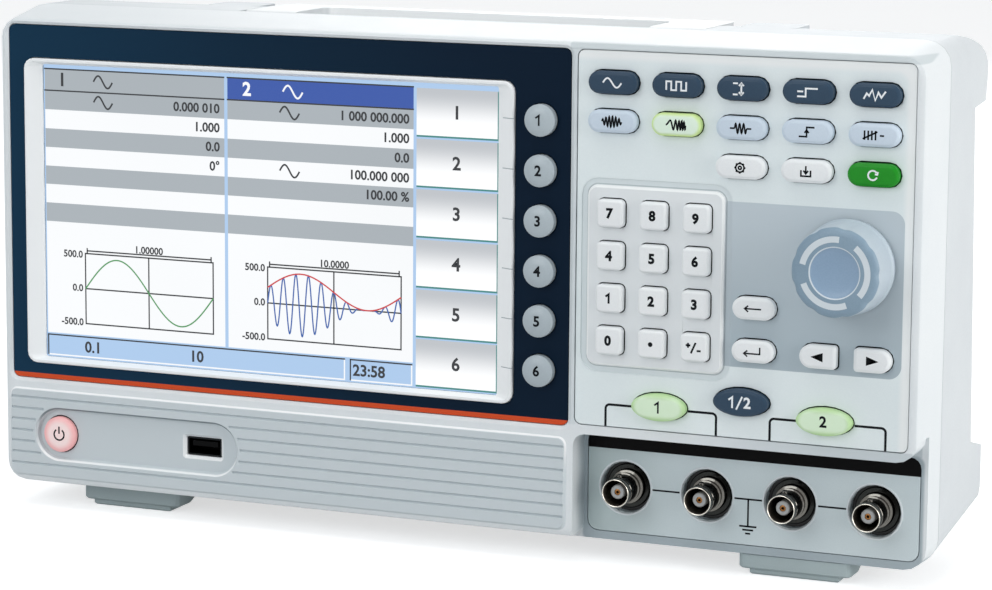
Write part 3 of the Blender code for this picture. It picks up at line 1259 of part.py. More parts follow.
# Main board with a shield can over the signal side and a larger can over the supply side
board_outline = box_outline(-MAIN_BOARD_WIDTH / 2, MAIN_BOARD_WIDTH / 2, board_bottom,
                            board_bottom + MAIN_BOARD_HEIGHT, BOARD_CORNER, 1)
main_board = add("main_board", prism("main_board", board_outline, board_back, MAIN_BOARD_Y), board_green)
board_middle = board_bottom + MAIN_BOARD_HEIGHT / 2
cans = cutter_group("board_cans")
shield_x = -MAIN_BOARD_WIDTH / 4
supply_x = INLET_X - INLET_BODY_WIDTH / 2 - SUPPLY_GAP - SUPPLY_WIDTH / 2
for word, can_x, width, height, depth in (
        ("shield_can", shield_x, SHIELD_WIDTH, SHIELD_HEIGHT, SHIELD_DEPTH),
        ("supply_can", supply_x, SUPPLY_WIDTH, SUPPLY_HEIGHT, SUPPLY_DEPTH)):
    can_outline = outline(width, height, SMALL_CORNER, steps=1)
    can = prism(word, can_outline, MAIN_BOARD_Y + BOARD_THICK / 2, board_back + depth)
    cutter(word, can, (can_x, 0.0, board_middle), group=cans)
boolean(main_board, cans, "UNION")

# Mains inlet on the leaning rear wall
flange = prism("power_inlet", outline(INLET_WIDTH, INLET_HEIGHT, INLET_RADIUS, steps=2), 0.0, INLET_FLANGE)
power_inlet = add("power_inlet", flange, black_plastic, inlet_place, lean)
body_outline = outline(INLET_BODY_WIDTH, INLET_BODY_HEIGHT, FINE_CORNER, steps=1)
inlet_body = prism("inlet_body", body_outline, -INLET_BODY_DEPTH, INLET_FLANGE / 2)
boolean(power_inlet, cutter("inlet_body", inlet_body, inlet_place, lean), "UNION")
mouth_corner = INLET_MOUTH_HEIGHT / 3
mouth_radii = (SMALL_CORNER, SMALL_CORNER, mouth_corner, mouth_corner)
mouth_outline = outline(INLET_MOUTH_WIDTH, INLET_MOUTH_HEIGHT, mouth_radii, steps=1)
inlet_mouth = prism("inlet_mouth", mouth_outline, INLET_FLANGE - INLET_MOUTH_DEPTH, INLET_FLANGE + THROUGH)
boolean(power_inlet, cutter("inlet_mouth", inlet_mouth, inlet_place, lean))

# Counter input at the back
coaxial_socket("counter_input_socket", counter_place, (wall_lean - math.pi / 2, 0.0, 0.0))
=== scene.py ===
import math

import bmesh
import bpy
import numpy as np
from mathutils import Matrix


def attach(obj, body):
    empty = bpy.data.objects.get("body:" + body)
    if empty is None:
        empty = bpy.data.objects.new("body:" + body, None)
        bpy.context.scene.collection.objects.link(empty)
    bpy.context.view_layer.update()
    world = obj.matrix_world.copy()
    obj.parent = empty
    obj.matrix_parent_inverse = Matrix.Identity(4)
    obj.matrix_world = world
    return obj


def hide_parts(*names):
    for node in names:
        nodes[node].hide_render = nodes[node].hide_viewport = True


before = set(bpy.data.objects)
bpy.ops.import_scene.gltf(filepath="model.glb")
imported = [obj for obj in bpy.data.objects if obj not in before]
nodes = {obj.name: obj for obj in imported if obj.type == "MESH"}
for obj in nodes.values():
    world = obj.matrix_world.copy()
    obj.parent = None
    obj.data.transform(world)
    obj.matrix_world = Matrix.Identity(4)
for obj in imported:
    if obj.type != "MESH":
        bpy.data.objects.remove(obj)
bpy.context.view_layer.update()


# Rear housing: the back shell of the case, with a leaning wall, vent slots and the handle well.
# Moulded in pale grey ABS with a fine spark texture; it closes the case behind the front housing.
def linear(red, green, blue):
    """A screen colour of three bytes as scene values: the display curve is undone channel by channel."""
    shown = np.array([red, green, blue]) / 255.0
    seen = np.where(shown <= 0.04045, shown / 12.92, ((shown + 0.055) / 1.055) ** 2.4)
    return (*seen.tolist(), 1.0)


class Paint:
    """A shader tree in the making. Its end is the node that takes the results, a material's shader or a
    group's output, and its place is the vector that its textures read. A colour is three bytes or four
    scene values."""

    def __init__(self, tree, end, place=None):
        self.tree = tree
        self.end = end
        self.place = place

    def fill(self, made, name, value):
        """One input socket of a node gets a value or a link."""
        socket = made.inputs[name]
        if isinstance(value, bpy.types.NodeSocket):
            self.tree.links.new(value, socket)
        elif socket.type == "RGBA" and len(value) == 3:
            socket.default_value = linear(*value)
        else:
            socket.default_value = value

    def filled(self, made, sockets):
        """The outputs of a node whose inputs are filled by name, where a low line stands for a space."""
        for name, value in sockets.items():
            self.fill(made, name.replace("_", " "), value)
        return made.outputs

    def node(self, kind, **sockets):
        """The outputs of a new shader node with its named inputs filled."""
        return self.filled(self.tree.nodes.new("ShaderNode" + kind), sockets)

    def group(self, group, **sockets):
        """The outputs of a copy of a node group with its named inputs filled."""
        made = self.tree.nodes.new("ShaderNodeGroup")
        made.node_tree = group.tree
        return self.filled(made, sockets)

    def put(self, **sockets):
        """Values and links for the tree's end."""
        self.filled(self.end, sockets)

    def maths(self, operation, *values):
        """The result of one Math node."""
        made = self.tree.nodes.new("ShaderNodeMath")
        made.operation = operation
        for index, value in enumerate(values):
            self.fill(made, index, value)
        return made.outputs["Value"]

    def times(self, a, b):
        """The product of two values."""
        return self.maths("MULTIPLY", a, b)

    def plus(self, a, b):
        """The sum of two values."""
        return self.maths("ADD", a, b)

    def less(self, a, b):
        """The first value less the second."""
        return self.maths("SUBTRACT", a, b)

    def mixed(self, share, first, second):
        """The colour between a first and a second one at a share from 0 to 1."""
        made = self.tree.nodes.new("ShaderNodeMix")
        made.data_type = "RGBA"
        for index, value in ((0, share), (6, first), (7, second)):
            self.fill(made, index, value)
        return made.outputs[2]

    def layered(self, colour, *layers):
        """A colour under layers, each a share and a tone."""
        for share, tone in layers:
            colour = self.mixed(share, colour, tone)
        return colour

    def stepped(self, value, low, high):
        """A share that rises smoothly from 0 at the low value to 1 at the high value."""
        made = self.tree.nodes.new("ShaderNodeMapRange")
        made.interpolation_type = "SMOOTHSTEP"
        return self.filled(made, {"Value": value, "From Min": low, "From Max": high})["Result"]

    def axis(self, name):
        """One coordinate of the place."""
        return self.node("SeparateXYZ", Vector=self.place)[name]

    def noise(self, scale, detail=2.0):
        """The share of a noise texture at the place."""
        return self.node("TexNoise", Vector=self.place, Scale=scale, Detail=detail)["Fac"]

    def bump(self, height, strength, distance):
        """A bump of a height goes to the shader's normal."""
        self.put(Normal=self.node("Bump", Height=height, Strength=strength, Distance=distance)["Normal"])


def new_material(name, **constants):
    """A material and its paint: constants on the shader's own sockets, textures on Object coordinates."""
    made = bpy.data.materials.new(name)
    made.use_nodes = True
    tree = made.node_tree
    paint = Paint(tree, tree.nodes["Principled BSDF"], tree.nodes.new("ShaderNodeTexCoord").outputs["Object"])
    paint.put(**constants)
    return made, paint


def new_group(name, inputs, outputs):
    """A node group's paint and its given inputs, with sockets of named kinds."""
    tree = bpy.data.node_groups.new(name, "ShaderNodeTree")
    for way, sockets in (("INPUT", inputs), ("OUTPUT", outputs)):
        for socket, kind in sockets.items():
            tree.interface.new_socket(socket, in_out=way, socket_type="NodeSocket" + kind)
    given = tree.nodes.new("NodeGroupInput").outputs
    return Paint(tree, tree.nodes.new("NodeGroupOutput"), given["Vector"]), given


grain, given = new_group(
    "moulded_grain",
    {"Vector": "Vector", "Light": "Color", "Dark": "Color", "Roughness": "Float", "Grain Size": "Float"},
    {"Colour": "Color", "Roughness": "Float", "Height": "Float"},
)
flow = grain.noise(21.0, 3.0)
handled = grain.noise(140.0)
sparks = grain.noise(grain.maths("DIVIDE", 1.0, given["Grain Size"]))
speckle = grain.times(grain.stepped(sparks, 0.35, 0.65), 0.3)
tone_share = grain.plus(grain.times(grain.stepped(flow, 0.3, 0.7), 0.7), speckle)
wander = grain.times(grain.less(handled, 0.5), 0.16)
grain.put(Colour=grain.mixed(tone_share, given["Dark"], given["Light"]),
          Roughness=grain.plus(given["Roughness"], wander), Height=sparks)


def skinned(paint, light, dark, roughness, grain_size):
    """The moulded grain: a colour, a roughness and a height."""
    return paint.group(grain, Vector=paint.place, Light=light, Dark=dark, Roughness=roughness,
                       Grain_Size=grain_size)


def finished(paint, colour, skin, depth):
    """A colour, the grain's roughness and a bump of a depth go to the shader."""
    paint.put(Base_Color=colour, Roughness=skin["Roughness"])
    paint.bump(skin["Height"], 0.35, depth)


def moulded(name, light, dark, roughness, grain_size=0.0006, depth=0.00003, **constants):
    """Moulded plastic: two close tones that follow the melt's flow, a wandering gloss and a spark grain."""
    made, paint = new_material(name, **constants)
    skin = skinned(paint, light, dark, roughness, grain_size)
    finished(paint, skin["Colour"], skin, depth)
    return made


def shown(name, mesh, body, slot, *materials):
    """An object at the origin that carries the finished mesh and its materials, and rides on a body."""
    piece = bpy.data.objects.new(name, mesh)
    bpy.context.scene.collection.objects.link(piece)
    for material in materials:
        mesh.materials.append(material)
    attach(piece, body)
    return piece


def softened(name, cad_node, body, slot, material, width):
    """A moulding with rounded edges: the CAD node's triangles merged into flat faces, and a bevel of one
    width along every edge that turns by more than an angle."""
    weld, flat, turn = 0.0000005, math.radians(0.3), math.radians(28.0)
    mesh = nodes[cad_node].data.copy()
    mesh.name = name
    mesh.materials.clear()
    work = bmesh.new()
    work.from_mesh(mesh)
    bmesh.ops.remove_doubles(work, verts=work.verts, dist=weld)
    bmesh.ops.dissolve_limit(work, angle_limit=flat, verts=work.verts, edges=work.edges)
    bmesh.ops.triangulate(work, faces=work.faces, quad_method="BEAUTY", ngon_method="BEAUTY")
    work.to_mesh(mesh)
    work.free()
    mesh.shade_smooth()
    piece = shown(name, mesh, body, slot, material)
    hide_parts(cad_node)
    rounding = piece.modifiers.new("rounded_edges", "BEVEL")
    rounding.width = width
    rounding.segments = 2
    rounding.limit_method = "ANGLE"
    rounding.angle_limit = turn
    rounding.miter_outer = "MITER_ARC"
    rounding.face_strength_mode = "FSTR_ALL"
    shading = piece.modifiers.new("even_shading", "WEIGHTED_NORMAL")
    shading.use_face_influence = True


rear_grey = moulded("rear_housing_abs", (213, 218, 221), (205, 210, 214), 0.5, 0.0007, 0.00004,
                    Specular_IOR_Level=0.3)
softened("rear_shell", "rear_housing", "case", "rear_grey", rear_grey, 0.0006)


# Mains inlet: a black moulded appliance inlet in an opening of the rear wall, with three flat pins.
# The flange has the fine matt texture of glass filled nylon, and the pins are nickel plated brass.
inlet_black = moulded("inlet_nylon", (34, 35, 37), (26, 27, 29), 0.5, 0.0004)
softened("mains_inlet", "power_inlet", "case", "black_plastic", inlet_black, 0.0004)


def metal(name, light, dark, roughness, scratch=900.0, wander=0.14):
    """Plated metal: fine lengthwise brush marks in the tone and the roughness, on a metallic shader."""
    made, paint = new_material(name, Metallic=1.0)
    brush = paint.node("Mapping", Vector=paint.place, Scale=(scratch, scratch / 14.0, scratch))
    marks = paint.node("TexNoise", Vector=brush["Vector"], Scale=1.0, Detail=3.0)["Fac"]
    paint.put(Base_Color=paint.mixed(paint.stepped(marks, 0.3, 0.7), dark, light),
              Roughness=paint.plus(paint.times(marks, wander), roughness - wander / 2))
    paint.bump(marks, 0.15, 0.00001)
    return made


def filled_mesh(name, points, faces):
    """A smooth shaded mesh of an array of points and lists of faces."""
    mesh = bpy.data.meshes.new(name)
    mesh.from_pydata(np.asarray(points, float).reshape(-1, 3).tolist(), [], faces)
    mesh.validate()
    mesh.shade_smooth()
    return mesh


def loft_faces(rows, count, front=True, back=True):
    """Quads between neighbouring rings of a loft, and its two end faces."""
    i, j = np.meshgrid(np.arange(rows - 1), np.arange(count), indexing="ij")
    turn = (j + 1) % count
    quads = np.stack([i * count + j, i * count + turn, (i + 1) * count + turn, (i + 1) * count + j], -1)
    faces = quads.reshape(-1, 4).tolist()
    if back:
        faces.append(np.arange(count)[::-1].tolist())
    if front:
        faces.append(((rows - 1) * count + np.arange(count)).tolist())
    return faces


def joined(parts):
    """Several pairs of points and faces as one pair, the faces counted on from part to part."""
    points, faces, start = [], [], 0
    for part, part_faces in parts:
        points.append(np.asarray(part, float).reshape(-1, 3))
        faces += [(np.asarray(face) + start).tolist() for face in part_faces]
        start += len(points[-1])
    return np.concatenate(points), faces


def corner_ring(width, height, radii, steps=6):
    """A rounded rectangle in X and Z, anticlockwise: a quarter circle of its own radius at each corner."""
    angle = np.linspace(0.0, np.pi / 2, steps)[None, :] + np.arange(4)[:, None] * np.pi / 2
    radius = np.broadcast_to(np.asarray(radii, float), 4)[:, None]
    side_x = np.array([1, -1, -1, 1])[:, None]
    side_z = np.array([1, 1, -1, -1])[:, None]
    x = side_x * (width / 2 - radius) + radius * np.cos(angle)
    z = side_z * (height / 2 - radius) + radius * np.sin(angle)
    return np.stack([x.ravel(), z.ravel()], 1)


def rings(outlines, depths):
    """A stack of X and Z outlines, each at its own Y, as one array of points."""
    outlines = np.asarray(outlines)
    depth = np.broadcast_to(np.asarray(depths, float)[:, None], outlines.shape[:2])
    return np.stack([outlines[..., 0], depth, outlines[..., 1]], -1)


rear_lean = math.radians(4.0)
inlet_spot = np.array([0.118, 0.0299, 0.067])


def onto_rear(points, spot):
    """Points drawn facing -Y at the origin, turned half round to face the back, leant as the rear wall
    leans and moved to a spot on it."""
    points = np.asarray(points).reshape(-1, 3) * np.array([-1.0, -1.0, 1.0])
    lean_cos, lean_sin = math.cos(rear_lean), math.sin(rear_lean)
    y = points[:, 1] * lean_cos - points[:, 2] * lean_sin
    z = points[:, 1] * lean_sin + points[:, 2] * lean_cos
    return np.stack([points[:, 0], y, z], 1) + spot


pin_plate = metal("plated_pin", (205, 200, 188), (186, 181, 170), 0.3)
pin_rings = [corner_ring(0.002 * scale, 0.004 * scale, 0.0003 * scale, 3) for scale in (1.0, 1.0, 0.6)]
pin = rings(pin_rings, [0.0104, -0.0006, -0.0014])
pin_spots = ((-0.007, -0.002), (0.007, -0.002), (0.0, 0.002))
pins = joined((onto_rear(pin + np.array([x, 0.0, z]), inlet_spot), loft_faces(*pin.shape[:2]))
              for x, z in pin_spots)
shown("inlet_pins", filled_mesh("inlet_pins", *pins), "case", "nickel", pin_plate)


# Counter input: a bayonet coaxial socket on the rear wall, of the same kind as the four in front.
# Nickel plated turned barrel with two lugs, pale insulator, brass contact, and a black moulded body.
turning = 2600.0
socket_finishes = (
    moulded("socket_body", (30, 31, 33), (22, 23, 25), 0.45, 0.0004),
    metal("socket_nickel", (112, 110, 105), (96, 94, 90), 0.10, turning, 0.05),
    moulded("socket_insulator", (182, 184, 184), (164, 166, 167), 0.5, 0.0003, 0.00002),
    metal("socket_contact", (150, 104, 62), (112, 76, 44), 0.28, turning),
    # a lighter copy of the nickel: painted highlight on the mouth of each barrel
    metal("socket_lip", (226, 222, 212), (212, 208, 199), 0.2, turning, 0.05),
    metal("socket_shade", (46, 47, 46), (36, 37, 36), 0.14, turning, 0.05),
    # a lighter, rougher copy of the nickel: painted reflection inside each barrel's bore
    metal("socket_bore", (132, 126, 117), (112, 107, 100), 0.3, turning, 0.05),
)


def turned_rings(profile, count, scallops=0):
    """A surface of revolution about Y: each profile row of radius, depth and scallop depth becomes a ring
    whose radius dips by the scallop depth times the squared positive part of the cosine of scallops times
    the angle."""
    rows = np.asarray(profile, float)
    angle = np.linspace(0.0, 2 * np.pi, count, endpoint=False)[None, :]
    reach = rows[:, :1]
    if scallops:
        reach = reach - rows[:, 2:3] * np.maximum(0.0, np.cos(scallops * angle)) ** 2
    y = np.broadcast_to(rows[:, 1:2], (len(rows), count))
    return np.stack([reach * np.cos(angle), y, reach * np.sin(angle)], -1)


def coaxial_points():
    """Every part of one socket, pointing to -Y with its seat at Y = 0: points, faces and a finish for each
    face."""
    tip, around = -0.0143, 48
    body, nickel, insulator, brass, lip, shade, bore = range(7)
    block = rings([corner_ring(0.0193, 0.0193, 0.001), corner_ring(0.0193, 0.0193, 0.001),
                   corner_ring(0.0187, 0.0187, 0.0008)], [0.008, 0.0003, 0.0])
    shell = turned_rings([
        (0.0041, tip + 0.0094), (0.0042, tip + 0.0006), (0.0044, tip + 0.0001), (0.00455, tip),
        (0.0047, tip + 0.0001), (0.00483, tip + 0.0004), (0.00483, tip + 0.0021), (0.00468, tip + 0.0023),
        (0.00468, tip + 0.0030), (0.00483, tip + 0.0032), (0.00483, tip + 0.0085), (0.0046, tip + 0.0087),
        (0.0046, tip + 0.0094), (0.0050, tip + 0.0096), (0.0050, -0.0032), (0.0057, -0.0030),
        (0.0057, -0.0014), (0.0057, 0.0)], around)[::-1]
    # the lip bands carry the painted highlight and the bore bands the painted reflection
    bands = np.repeat([nickel] * 13 + [lip] * 2 + [bore] * 2, around)
    washer = turned_rings([(0.0076, 0.0), (0.0076, -0.0008), (0.0073, -0.0011), (0.0060, -0.0011)], around)
    core = turned_rings([(0.00405, tip + 0.0095), (0.0024, tip + 0.0095), (0.0024, tip + 0.0026),
                         (0.0021, tip + 0.0023), (0.0011, tip + 0.0023), (0.0011, tip + 0.0030)], 32)
    contact = turned_rings([(0.00105, tip + 0.0030), (0.00105, tip + 0.0025), (0.0009, tip + 0.0024),
                            (0.0005, tip + 0.0024), (0.0005, tip + 0.0060)], 24)
    lug = turned_rings([(0.001, -0.0044), (0.001, -0.0054), (0.0008, -0.0056)], 16)
    upper = lug[..., [0, 2, 1]] * np.array([-1.0, 1.0, -1.0]) + np.array([0.0, tip + 0.0045, 0.0])
    lower = upper * np.array([-1.0, 1.0, -1.0])
    parts, finishes = [], []
    for part, finish, front, back in (
            (block, body, True, True), (shell, bands, False, False), (washer, shade, False, True),
            (core, insulator, True, True), (contact, brass, True, True), (upper, nickel, True, True),
            (lower, nickel, True, True)):
        faces = loft_faces(*part.shape[:2], front, back)
        parts.append((part, faces))
        finishes.append(np.broadcast_to(finish, len(faces)))
    return *joined(parts), np.concatenate(finishes).astype(np.int32)


socket_points, socket_faces, face_finishes = coaxial_points()


def coaxial_socket(name, cad_node, points):
    """One socket as a piece with its seven finishes, in place of its CAD node."""
    mesh = filled_mesh(name, points, socket_faces)
    piece = shown(name, mesh, "case", "nickel", *socket_finishes)
    mesh.polygons.foreach_set("material_index", face_finishes)
    mesh.set_sharp_from_angle(angle=math.radians(35))
    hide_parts(cad_node)


counter_spot = np.array([0.072, 0.02668, 0.0688])
coaxial_socket("counter_socket", "counter_input_socket", onto_rear(socket_points, counter_spot))


# Boards inside the case: the main board with its two cans and the key board behind the panels.
# Glass epoxy under green solder mask, with copper tracks, tinned pads and pressed tin plate cans.
def board_material(name, can_start):
    """Circuit board: tracks by a brick pattern and pads by distance cells, and bare tin behind a given Y."""
    made, paint = new_material(name)
    upright = paint.node("Mapping", Vector=paint.place, Rotation=(math.pi / 2, 0.0, 0.0))["Vector"]
    tracks = paint.node("TexBrick", Vector=upright, Scale=160.0, Mortar_Size=0.12, Color1=(20, 92, 52),
                        Color2=(24, 104, 60), Mortar=(58, 140, 84))
    cells = paint.node("TexVoronoi", Vector=paint.place, Scale=240.0, Randomness=0.25)["Distance"]
    tinned = paint.stepped(paint.axis("Y"), can_start - 0.0001, can_start)
    shine = paint.maths("MAXIMUM", paint.stepped(cells, 0.2, 0.16), tinned)
    paint.put(Base_Color=paint.mixed(shine, tracks["Color"], (196, 196, 190)), Metallic=shine,
              Roughness=paint.less(0.42, paint.times(shine, 0.1)))
    paint.bump(tracks["Fac"], 0.2, 0.00003)
    return made


def dressed(cad_node, material):
    """A CAD node that shows one material."""
    nodes[cad_node].data.materials.clear()
    nodes[cad_node].data.materials.append(material)


behind_all = 0.1
dressed("main_board", board_material("main_board_mask", 0.0022))
dressed("key_board", board_material("key_board_mask", behind_all))
encoder_steel = metal("encoder_steel", (186, 187, 188), (160, 161, 163), 0.32)
dressed("rotary_encoder", encoder_steel)
dressed("encoder_shaft", encoder_steel)


# Carry handle: a moulded bail that lies flush in its well and swings up on two short pins.
# White ABS with the same satin skin as the front, its edges well rounded for the hand.
def handle_skin():
    """Handle moulding: white, with a painted highlight on the grip bar's inner face that lifts the shade of
    its well.
    """
    made, paint = new_material("handle_abs", Specular_IOR_Level=0.3)
    skin = skinned(paint, (224, 227, 229), (217, 221, 223), 0.42, 0.0007)
    # Painted highlight: the grip bar's inner face, between its ends and in front of a depth, is painted
    # lighter.
    between = paint.stepped(paint.maths("ABSOLUTE", paint.axis("X")), 0.0640, 0.0625)
    inner = paint.times(between, paint.stepped(paint.axis("Y"), 0.0184, 0.0178))
    finished(paint, paint.mixed(inner, skin["Colour"], (250, 251, 251)), skin, 0.00003)
    return made


softened("handle", "carry_handle", "carry_handle", "handle_white", handle_skin(), 0.0012)


# Front housing: flared frame, screen surround, ribbed pad and the set-back output corner in one moulding.
# White ABS with a satin skin, hollowed from behind; it meets the rear housing at the seam.
plate_sizes = ("Left", "Right", "Foot", "Head", "Radius", "Soft")
plate_mask, given = new_group("rounded_plate", {"Vector": "Vector", **dict.fromkeys(plate_sizes, "Float")},
                              {"Mask": "Float"})
overs = []
for axis, low, high in (("X", "Left", "Right"), ("Z", "Foot", "Head")):
    middle = plate_mask.times(plate_mask.plus(given[low], given[high]), 0.5)
    half = plate_mask.times(plate_mask.less(given[high], given[low]), 0.5)
    away = plate_mask.maths("ABSOLUTE", plate_mask.less(plate_mask.axis(axis), middle))
    overs.append(plate_mask.less(away, plate_mask.less(half, given["Radius"])))
squares = [plate_mask.maths("POWER", plate_mask.maths("MAXIMUM", over, 0.0), 2.0) for over in overs]
reach = plate_mask.maths("SQRT", plate_mask.plus(*squares))
deep = plate_mask.maths("MINIMUM", plate_mask.maths("MAXIMUM", *overs), 0.0)
gone = plate_mask.less(plate_mask.plus(reach, deep), given["Radius"])
plate_mask.put(Mask=plate_mask.stepped(gone, given["Soft"], plate_mask.times(given["Soft"], -1.0)))


def plate(paint, outline, soft=0.00006):
    """The share of a rounded plate: 1 inside its outline of left, right, foot, head and radius, 0 outside."""
    sizes = dict(zip(plate_sizes, (*outline, soft)))
    return paint.group(plate_mask, Vector=paint.place, **sizes)["Mask"]


def ringed(paint, outline, width):
    """The share of a band of a width just inside a rounded plate's outline."""
    left, right, foot, head, radius = outline
    inner = (left + width, right - width, foot + width, head - width, radius - width)
    return paint.less(plate(paint, outline, 0.0001), plate(paint, inner, 0.0001))


def shell_skin():
    """Front moulding: white, greyer over the ribbed pad and lighter round the screen. Painted highlights run
    along the pad's upper edge, the pocket's lower lip and the lower walls of the USB opening; painted shade
    lies along the pocket's upper edge, on the frame bands round the control panel and in the set-back corner."""
    made, paint = new_material("front_housing_abs", Specular_IOR_Level=0.3)
    skin = skinned(paint, (229, 233, 235), (223, 228, 231), 0.4, 0.0007)
    pad = (-0.166, 0.0478, 0.0114, 0.0435, 0.003)
    height = paint.axis("Z")
    pad_edge_highlight = ringed(paint, pad, 0.0006)
    lip = ringed(paint, (-0.1555, -0.0747, 0.0178, 0.0371, 0.0096), 0.0006)
    surround = plate(paint, (-0.1588, 0.0283, 0.0526, 0.1618, 0.004), 0.0002)
    usb_edge_highlight = plate(paint, (-0.0972, -0.0814, 0.0230, 0.0319, 0.0012), 0.0002)
    head_band_shade = plate(paint, (0.0478, 0.1674, 0.1730, 0.1755, 0.0005), 0.0003)
    foot_band_shade = plate(paint, (0.0497, 0.1668, 0.0446, 0.0482, 0.0005), 0.0003)
    mullion_shade = plate(paint, (0.0474, 0.0509, 0.0480, 0.1730, 0.0005), 0.0003)
    corner = plate(paint, (0.0497, 0.1677, 0.0060, 0.0452, 0.003), 0.0006)
    colour = paint.layered(
        skin["Colour"],
        (plate(paint, pad, 0.0003), (203, 211, 215)),
        # painted highlight along the upper edge of the ribbed pad
        (paint.times(pad_edge_highlight, paint.stepped(height, 0.03, 0.042)), (246, 247, 248)),
        # painted shade along the pocket's upper edge, and a painted highlight along its lower lip
        (paint.times(lip, paint.stepped(height, 0.030, 0.035)), (122, 133, 138)),
        (paint.times(lip, paint.stepped(height, 0.027, 0.020)), (242, 245, 246)),
        (surround, (243, 245, 246)),
        # painted highlight on the lower walls of the USB opening
        (paint.times(usb_edge_highlight, paint.stepped(height, 0.0330, 0.0290)), (248, 250, 251)),
        # painted shade on the frame bands round the control panel, deeper to the right along its foot
        (paint.times(foot_band_shade, paint.stepped(paint.axis("X"), 0.065, 0.150)), (200, 208, 212)),
        (head_band_shade, (203, 211, 214)),
        (mullion_shade, (213, 220, 223)),
        # painted shade in the set-back output corner, behind the front face
        (paint.times(corner, paint.stepped(paint.axis("Y"), -0.030, -0.0235)), (168, 180, 186)),
    )
    finished(paint, colour, skin, 0.00003)
    return made


softened("front_shell", "front_housing", "case", "shell_white", shell_skin(), 0.00018)


# Feet: two grey rubber blocks under the front, each with a smaller pad that meets the table.
# They lie against the underside of the case; matt rubber with a fine grain.
foot_rubber = moulded("foot_rubber", (174, 188, 190), (164, 178, 181), 0.72, 0.0005, 0.00005)
for side in ("left", "right"):
    softened("rubber_foot_" + side, "foot_" + side, "case", "foot_grey", foot_rubber, 0.0004)


# Screen: an eight inch colour display behind an anti-glare film, seated behind the moulded surround.
# Its lit picture has two channel panes with tables and plots, a column of soft buttons and a status bar.
screen_left, screen_top, screen_y = -0.15225, 0.1594, -0.0307
dot = 0.000125
film_black = (0.004, 0.004, 0.005, 1.0)


def lit(name, tone):
    """Lit screen colour: the glow follows a fine grid of picture points, under a dark satin film."""
    made, paint = new_material(name, Roughness=0.35, Emission_Strength=1.0)
    grid = paint.node("TexWave", Vector=paint.place, Scale=1250.0)["Fac"]
    patches = paint.noise(12.0, 1.0)
    share = paint.plus(paint.times(grid, 0.25), paint.times(patches, 0.5))
    glow = np.array(linear(*tone)[:3])
    dim = (*(0.90 * glow).tolist(), 1.0)
    film = (*(0.02 * glow + 0.004).tolist(), 1.0)
    paint.put(Emission_Color=paint.mixed(share, dim, tone), Base_Color=paint.mixed(patches, film_black, film))
    return made


def box_points(boxes):
    """Thin blocks from rows of left, right, bottom, top, front and back: eight points and six faces each."""
    boxes = np.asarray(boxes, float)
    pick = np.array([[0, 5, 2], [1, 5, 2], [1, 5, 3], [0, 5, 3], [0, 4, 2], [1, 4, 2], [1, 4, 3], [0, 4, 3]])
    points = boxes[:, pick].reshape(-1, 3)
    face = np.array([[4, 5, 6, 7], [3, 2, 1, 0], [0, 1, 5, 4], [1, 2, 6, 5], [2, 3, 7, 6], [3, 0, 4, 7]])
    faces = (np.arange(len(boxes))[:, None, None] * 8 + face[None]).reshape(-1, 4)
    return points, faces.tolist()


def panes(name, rectangles, layer, material):
    """Flat lit rectangles given in picture points from the screen's top left corner, on a numbered layer."""
    dots = np.asarray(rectangles, float)
    left = screen_left + dots[:, 0] * dot
    right = screen_left + dots[:, 2] * dot
    top = screen_top - dots[:, 1] * dot
    bottom = screen_top - dots[:, 3] * dot
    front = np.full(len(dots), screen_y - 0.00003 * layer)
    points, faces = box_points(np.stack([left, right, bottom, top, front, front + 0.00002], 1))
    mesh = filled_mesh(name, points, faces)
    mesh.shade_flat()
    shown(name, mesh, "case", "screen_glass", material)


def bar_points(path, width, front, thickness):
    """A flat bar along a path of X and Z points: each point is carried to both sides along the bisector of
    its neighbours' normals, at the front depth and the thickness behind it."""
    path = np.asarray(path, float)
    closed = np.allclose(path[0], path[-1])
    if closed:
        path = path[:-1]
    ahead = np.roll(path, -1, 0) - path
    if not closed:
        ahead[-1] = ahead[-2]
    ahead /= np.linalg.norm(ahead, axis=1, keepdims=True)
    behind = np.roll(ahead, 1, 0)
    if not closed:
        behind[0] = ahead[0]
    side = np.stack([-ahead[:, 1] - behind[:, 1], ahead[:, 0] + behind[:, 0]], 1)
    side /= np.maximum(1.0 + np.sum(ahead * behind, axis=1, keepdims=True), 0.4)
    left = path + side * width / 2
    right = path - side * width / 2
    depth = np.broadcast_to(np.asarray(front, float), len(path))
    corners = ((left, depth), (left, depth + thickness), (right, depth + thickness), (right, depth))
    points = np.stack([np.stack([p[:, 0], y, p[:, 1]], 1) for p, y in corners], 1)
    faces = np.asarray(loft_faces(len(path), 4, False, False))
    if closed:
        last = (len(path) - 1) * 4
        i = np.arange(4)
        faces = np.concatenate([faces, np.stack([last + i, last + (i + 1) % 4, (i + 1) % 4, i], 1)])
        return points.reshape(-1, 3), faces[:, ::-1].tolist()
    ends = [[0, 1, 2, 3], [len(path) * 4 - 1 - k for k in range(4)]]
    return points.reshape(-1, 3), faces[:, ::-1].tolist() + ends


def bars(name, paths, width, front, body, slot, material):
    """Printed or lit lines: one mesh of flat bars along several paths."""
    thickness = 0.00002
    mesh = filled_mesh(name, *joined(bar_points(path, width, front, thickness) for path in paths))
    mesh.shade_flat()
    shown(name, mesh, body, slot, material)


def traced(dots):
    """A path in picture points as X and Z on the screen."""
    dots = np.asarray(dots, float)
    return np.stack([screen_left + dots[:, 0] * dot, screen_top - dots[:, 1] * dot], 1)


def drawn(name, paths, width, rise, material):
    """Lit lines of the picture: a width in picture points, raised a little over the panes."""
    paths = [traced(path) for path in paths]
    bars(name, paths, width * dot, screen_y - rise, "case", "screen_glass", material)


